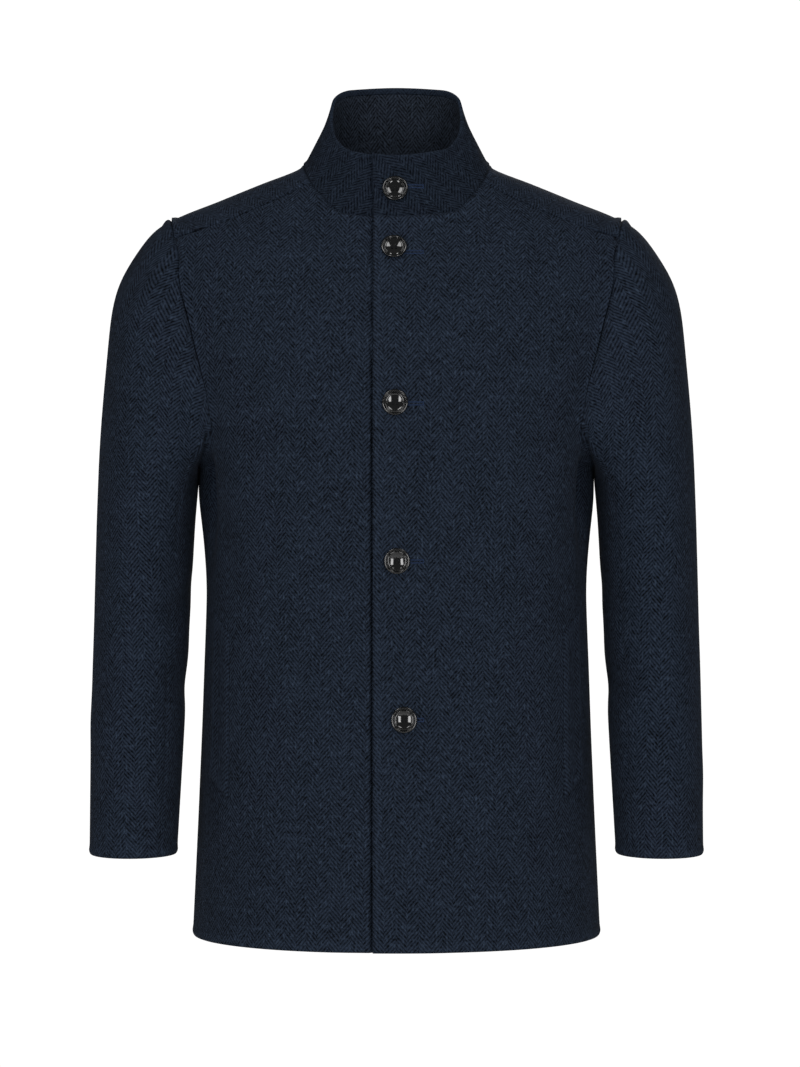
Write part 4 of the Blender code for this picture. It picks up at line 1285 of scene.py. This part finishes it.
def stitch(point, outward, along, length, width, height):
    """Points and faces of a stitch: a low bar of thread, drawn into the cloth at both ends."""
    aside = np.cross(along, outward)
    points, faces = [], []
    for share, level, girth in STITCH_SECTIONS:
        for turn in np.radians(np.arange(0, 360, 360 // STITCH_SIDES)):
            across = aside * math.cos(turn) * width / 2 * girth
            lift = outward * (height * level * (0.5 + 0.5 * math.sin(turn)) - STITCH_BITE)
            points.append(point + along * length * share + across + lift)
    for start in range(0, len(points) - STITCH_SIDES, STITCH_SIDES):
        for k in range(STITCH_SIDES):
            a, b = start + k, start + (k + 1) % STITCH_SIDES
            faces.append((a, b, b + STITCH_SIDES, a + STITCH_SIDES))
    faces.append(tuple(range(STITCH_SIDES)))
    faces.append(tuple(range(len(points) - STITCH_SIDES, len(points))))
    return points, faces


def gathered(parts):
    """Points and faces of many small parts as one list each."""
    points, faces = [], []
    for some_points, some_faces in parts:
        faces += [tuple(k + len(points) for k in face) for face in some_faces]
        points += some_points
    return np.array(points), faces


def upward_on(seat, x, height, outward):
    """The direction up the cloth at a place on the front or the collar."""
    across = seat(x + SEAT_STEP, height)[0] - seat(x - SEAT_STEP, height)[0]
    return unit(np.cross(outward, across))


def buttonhole_stitches(seat, start, end, height):
    """Both lips of a buttonhole and the bar that closes it."""
    parts = []
    count = int((end - start) / STITCH_PITCH)
    for x in np.linspace(start, end, count + 1):
        for lip in (-1, 1):
            point, outward = seat(x, height + lip * LIP_AWAY)
            up = upward_on(seat, x, height, outward)
            width = STITCH_PITCH * STITCH_GIRTH
            parts.append(stitch(point, outward, up, STITCH_LENGTH, width, STITCH_HEIGHT))
    for number in range(BAR_STITCHES):
        x = end + (number + 1) * STITCH_PITCH * BAR_SPACING
        point, outward = seat(x, height)
        up = upward_on(seat, x, height, outward)
        width = STITCH_PITCH * BAR_GIRTH
        parts.append(stitch(point, outward, up, BAR_LENGTH, width, STITCH_HEIGHT * BAR_RISE))
    return parts


def linear(code):
    """An sRGB hex colour as linear red, green, blue and a full alpha."""
    parts = [int(code[k : k + 2], 16) / 255 for k in (1, 3, 5)]
    return (*[c / 12.92 if c <= 0.04045 else ((c + 0.055) / 1.055) ** 2.4 for c in parts], 1.0)


def node(tree, kind, inputs, **settings):
    """Add a node with its settings, and give its inputs values, other nodes or their outputs."""
    new = tree.nodes.new(kind)
    for name, value in settings.items():
        setattr(new, name, value)
    for key, value in inputs.items():
        if isinstance(value, bpy.types.Node):
            value = value.outputs[0]
        if isinstance(value, bpy.types.NodeSocket):
            tree.links.new(value, new.inputs[key])
        else:
            new.inputs[key].default_value = value
    return new


def finish_named(name, **constants):
    """A new material with its shader's constants set, and that shader."""
    finish = bpy.data.materials.new(name)
    finish.use_nodes = True
    shader = finish.node_tree.nodes["Principled BSDF"]
    for key, value in constants.items():
        shader.inputs[key.replace("_", " ")].default_value = value
    return finish, shader


def herringbone(name, dark, light, fleck):
    """Wool woven in herringbone and brushed: slanting ribs of flecked yarn, soft and without shine."""
    finish, shader = finish_named(name, Roughness=0.95, IOR=1.55, Specular_IOR_Level=0.03)
    shader.inputs["Sheen Weight"].default_value = 0.008
    shader.inputs["Sheen Roughness"].default_value = 0.6
    tree = finish.node_tree
    cut = node(tree, "ShaderNodeUVMap", {}, uv_map="cut")
    split = node(tree, "ShaderNodeSeparateXYZ", {0: cut})
    across, along = split.outputs[0], split.outputs[1]
    zigzag = node(tree, "ShaderNodeMath", {0: across, 1: COLUMN}, operation="PINGPONG")
    slant = node(tree, "ShaderNodeMath", {0: zigzag, 1: SLOPE, 2: along}, operation="MULTIPLY_ADD")
    count = node(tree, "ShaderNodeMath", {0: across, 1: COLUMN}, operation="DIVIDE")
    count = node(tree, "ShaderNodeMath", {0: count}, operation="FLOOR")
    ribs = node(tree, "ShaderNodeMath", {0: slant, 1: PITCH}, operation="DIVIDE")
    ribs = node(tree, "ShaderNodeMath", {0: count, 1: 0.5, 2: ribs}, operation="MULTIPLY_ADD")
    ribs = node(tree, "ShaderNodeMath", {0: ribs, 1: 0.5}, operation="PINGPONG")
    ribs = node(
        tree,
        "ShaderNodeMapRange",
        {"Value": ribs, "From Min": RIB_EDGES[0], "From Max": RIB_EDGES[1]},
        interpolation_type="SMOOTHSTEP",
    )
    warp = node(tree, "ShaderNodeMapping", {"Vector": cut, "Scale": (1 / YARN, 1 / SLUB, 1.0)})
    warp = node(tree, "ShaderNodeTexNoise", {"Vector": warp, "Scale": 1.0, "Detail": 0.0})
    weft = node(tree, "ShaderNodeMapping", {"Vector": cut, "Scale": (1 / SLUB, 1 / YARN, 1.0)})
    weft = node(tree, "ShaderNodeTexNoise", {"Vector": weft, "Scale": 1.0, "Detail": 0.0})
    cloud = node(tree, "ShaderNodeTexNoise", {"Vector": cut, "Scale": 1 / CLOUD, "Detail": 2.0})
    tone = node(tree, "ShaderNodeMath", {0: warp, 1: WARP_SHARE, 2: weft}, operation="MULTIPLY_ADD")
    tone = node(tree, "ShaderNodeMath", {0: cloud, 1: CLOUD_SHARE, 2: tone}, operation="MULTIPLY_ADD")
    tone = node(tree, "ShaderNodeMath", {0: ribs, 1: RIB_SHARE, 2: tone}, operation="MULTIPLY_ADD")
    # Painted highlight: the tone is lightened on the ridge beside folded edges and on the collar's
    # rolled top edge
    painted_highlight = node(tree, "ShaderNodeAttribute", {}, attribute_name="painted_highlight").outputs["Fac"]
    tone = node(tree, "ShaderNodeMath", {0: painted_highlight, 1: HIGHLIGHT_LIFT, 2: tone}, operation="MULTIPLY_ADD")
    tone = node(
        tree, "ShaderNodeMapRange", {"Value": tone, "From Min": TONES[0], "From Max": TONES[1]}
    )
    colour = node(tree, "ShaderNodeMix", {0: tone, 6: linear(dark), 7: linear(light)}, data_type="RGBA")
    low, high = FLECK_TONES
    flecks = node(
        tree,
        "ShaderNodeMapRange",
        {"Value": warp, "From Min": low, "From Max": high, "To Max": FLECK_SHARE},
    )
    colour = node(
        tree, "ShaderNodeMix", {0: flecks, 6: colour.outputs[2], 7: linear(fleck)}, data_type="RGBA"
    )
    raised = node(
        tree, "ShaderNodeBump", {"Height": tone, "Strength": RELIEF_SHARE, "Distance": RELIEF}
    )
    tree.links.new(colour.outputs[2], shader.inputs["Base Color"])
    tree.links.new(raised.outputs[0], shader.inputs["Normal"])
    return finish


def set_stage():
    """A plain pale floor, soft studio light and the camera in front of the coat."""
    scene = bpy.context.scene
    scene.view_settings.view_transform = "Standard"
    world = bpy.data.worlds.new("white studio")
    world.use_nodes = True
    tree = world.node_tree
    facing = node(tree, "ShaderNodeTexCoord", {})
    depth = node(tree, "ShaderNodeSeparateXYZ", {0: facing.outputs["Generated"]})
    bright = node(
        tree,
        "ShaderNodeMapRange",
        {
            "Value": depth.outputs[1],
            "From Min": BACKDROP_EDGES[0],
            "From Max": BACKDROP_EDGES[1],
            "To Min": ROOM_GREY,
            "To Max": BACKDROP_WHITE,
        },
        interpolation_type="SMOOTHSTEP",
    )
    tree.links.new(bright.outputs[0], tree.nodes["Background"].inputs["Strength"])
    tree.nodes["Background"].inputs["Color"].default_value = linear("#ffffff")
    scene.world = world
    half = FLOOR_SIZE / 2
    corners = [(-half, -half, FLOOR), (half, -half, FLOOR), (half, half, FLOOR), (-half, half, FLOOR)]
    pale, shader = finish_named("matt painted floor", Roughness=0.9, Specular_IOR_Level=0.1)
    shader.inputs["Base Color"].default_value = linear("#f6f6f6")
    floor = add_piece("floor", corners, [(0, 1, 2, 3)], pale)
    for row in SOFTBOXES:
        box = dict(zip(SOFTBOX_COLUMNS, row))
        light = bpy.data.lights.new(box["name"], "AREA")
        light.shape = "RECTANGLE"
        light.size, light.size_y = box["width"], box["height"]
        light.energy = box["power"]
        lamp = bpy.data.objects.new(box["name"], light)
        lamp.location = box["place"]
        lamp.rotation_euler = (Vector(AIM) - lamp.location).to_track_quat("-Z", "Y").to_euler()
        scene.collection.objects.link(lamp)
    camera = bpy.data.cameras.new("camera")
    camera.sensor_fit = "VERTICAL"
    camera.sensor_height = SENSOR
    camera.lens = SENSOR * -CAMERA_PLACE[1] / VIEW_HEIGHT
    eye = bpy.data.objects.new("camera", camera)
    eye.location = CAMERA_PLACE
    eye.rotation_euler = (math.radians(90), 0.0, 0.0)
    scene.collection.objects.link(eye)
    scene.camera = eye


def declare(piece, solid, held=None):
    """Tie a piece to the root body, hide its solid, and for cloth measure the width, length and area of
    its cut.
    """
    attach(piece, "root")
    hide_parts(solid)
    if held:
        flat, area = cut_size(piece)


def main():
    """Dress every piece, light it and set the camera."""
    # Brushed wool: a matt dark face in which slanting ribs and lighter flecks of yarn show
    wool = herringbone("wool herringbone, woven and brushed", "#06080c", "#262f3d", "#3a4758")
    # The same cloth painted darker: painted shade for the collar's face, which turns away from the
    # light
    shaded_collar_wool = herringbone("wool herringbone, painted in shade", "#04060b", "#1f2733", "#303b49")
    # Its inner side, less brushed and so a little greyer
    inside = herringbone("wool herringbone, inner side", "#080a0d", "#29303b", "#384352")
    # Cast resin, turned and polished: near black, with sharp reflections
    resin, shader = finish_named("polished black resin", Roughness=0.06, IOR=1.55)
    shader.inputs["Base Color"].default_value = linear("#08090a")
    # Buttonhole twist: a matt blue thread, lighter than the cloth
    twist, shader = finish_named("twisted thread", Roughness=0.8, IOR=1.55, Specular_IOR_Level=0.1)
    shader.inputs["Base Color"].default_value = linear("#1b2840")
    # Waxed sewing thread: nearly black, with a faint shine
    dark_thread, shader = finish_named("waxed thread", Roughness=0.7, IOR=1.55, Specular_IOR_Level=0.1)
    shader.inputs["Base Color"].default_value = linear("#0a0c10")

    front, back = front_grids(), back_grids()
    front_cut, back_cut = panel_pattern(*front), panel_pattern(*back)
    left, _ = half_panel(front, front_cut, 1, True, 1)
    right, _ = half_panel(front, front_cut, -1, True, -1)
    back_left, middle = half_panel(back, back_cut, 0, False, 1)
    back_right, _ = half_panel(back, back_cut, 0, False, -1)
    whole_back = back_left.joined(back_right.mirrored(), middle)
    collar = collar_leaf("outer_collar", collar_outer_outline, shaded_collar_wool)
    lining_collar = collar_leaf("inner_collar", collar_inner_outline, inside)
    declare(collar, "collar_outer", "folded")
    declare(lining_collar, "collar_inner", "hung")
    back_piece = add_cloth("whole_back", whole_back, WALL, wool)
    declare(back_piece, "back", "hung")
    left_front = add_cloth("left_front", left, WALL, wool)
    right_front = add_cloth("right_front", right.mirrored(), WALL, wool)
    declare(left_front, "front_left", "hung")
    declare(right_front, "front_right", "hung")

    facing_left, seam = facing_half(back[1], back_cut[1], 1)
    facing_right, _ = facing_half(back[1], back_cut[1], -1)
    facing = facing_left.joined(facing_right.mirrored(), seam)
    facing = add_cloth("neck_facing", facing, FACING_WALL, inside)
    declare(facing, "back_neck_facing", "hung")

    for side, breaks in (("left", LEFT_SLEEVE_BREAKS), ("right", RIGHT_SLEEVE_BREAKS)):
        rows = BOTH_SLEEVE_BREAKS + breaks
        top = sleeve_piece(HIND_SEAM_TURN, FORE_SEAM_TURN + 360, SLEEVE_TOP_STEPS, rows)
        under = sleeve_piece(FORE_SEAM_TURN, HIND_SEAM_TURN, SLEEVE_UNDER_STEPS, rows)
        for part, cloth in (("top", top), ("under", under)):
            cloth = cloth if side == "left" else cloth.mirrored()
            piece = add_cloth(f"{side}_sleeve_{part}", cloth, WALL, wool)
            declare(piece, f"sleeve_{side}_{part}", "hung")
        welt, wall = welt_piece(1 if side == "left" else -1)
        welt = welt if side == "left" else welt.mirrored()
        piece = add_cloth(f"{side}_welt", welt, wall, wool)
        declare(piece, f"pocket_welt_{side}", "laid")

    points, faces = button_form()
    lips, sewing = [], []
    for number, (x, height) in enumerate(BUTTON_PLACES, start=1):
        seat = collar_seat if number == 1 else front_seat
        place, outward = seat(x, height)
        turn = np.array(Vector(outward).to_track_quat("Z", "Y").to_matrix())
        turned = points @ turn.T + place + outward * SEAM_GAP
        button = add_piece(f"turned_button_{number}", turned, faces, resin)
        declare(button, f"button_{number}")
        lips += buttonhole_stitches(seat, x + HOLE_START, HOLE_END, height + HOLE_RISES[number - 1])
        for shift in (-HOLE_AWAY, HOLE_AWAY):
            level = SEAM_GAP + BUTTON_ROWS[-1][1] - BUTTON_DISH
            on_button = place + outward * level + turn @ np.array((shift, 0, 0))
            upward = turn @ np.array((0.0, 1.0, 0.0))
            thread = stitch(on_button, outward, upward, 2 * HOLE_AWAY, THREAD_WIDTH, THREAD_HEIGHT)
            sewing.append(thread)
    lips = add_piece("buttonhole_stitches", *gathered(lips), twist)
    sewing = add_piece("button_thread", *gathered(sewing), dark_thread)
    for piece in (lips, sewing):
        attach(piece, "root")
    set_stage()


main()
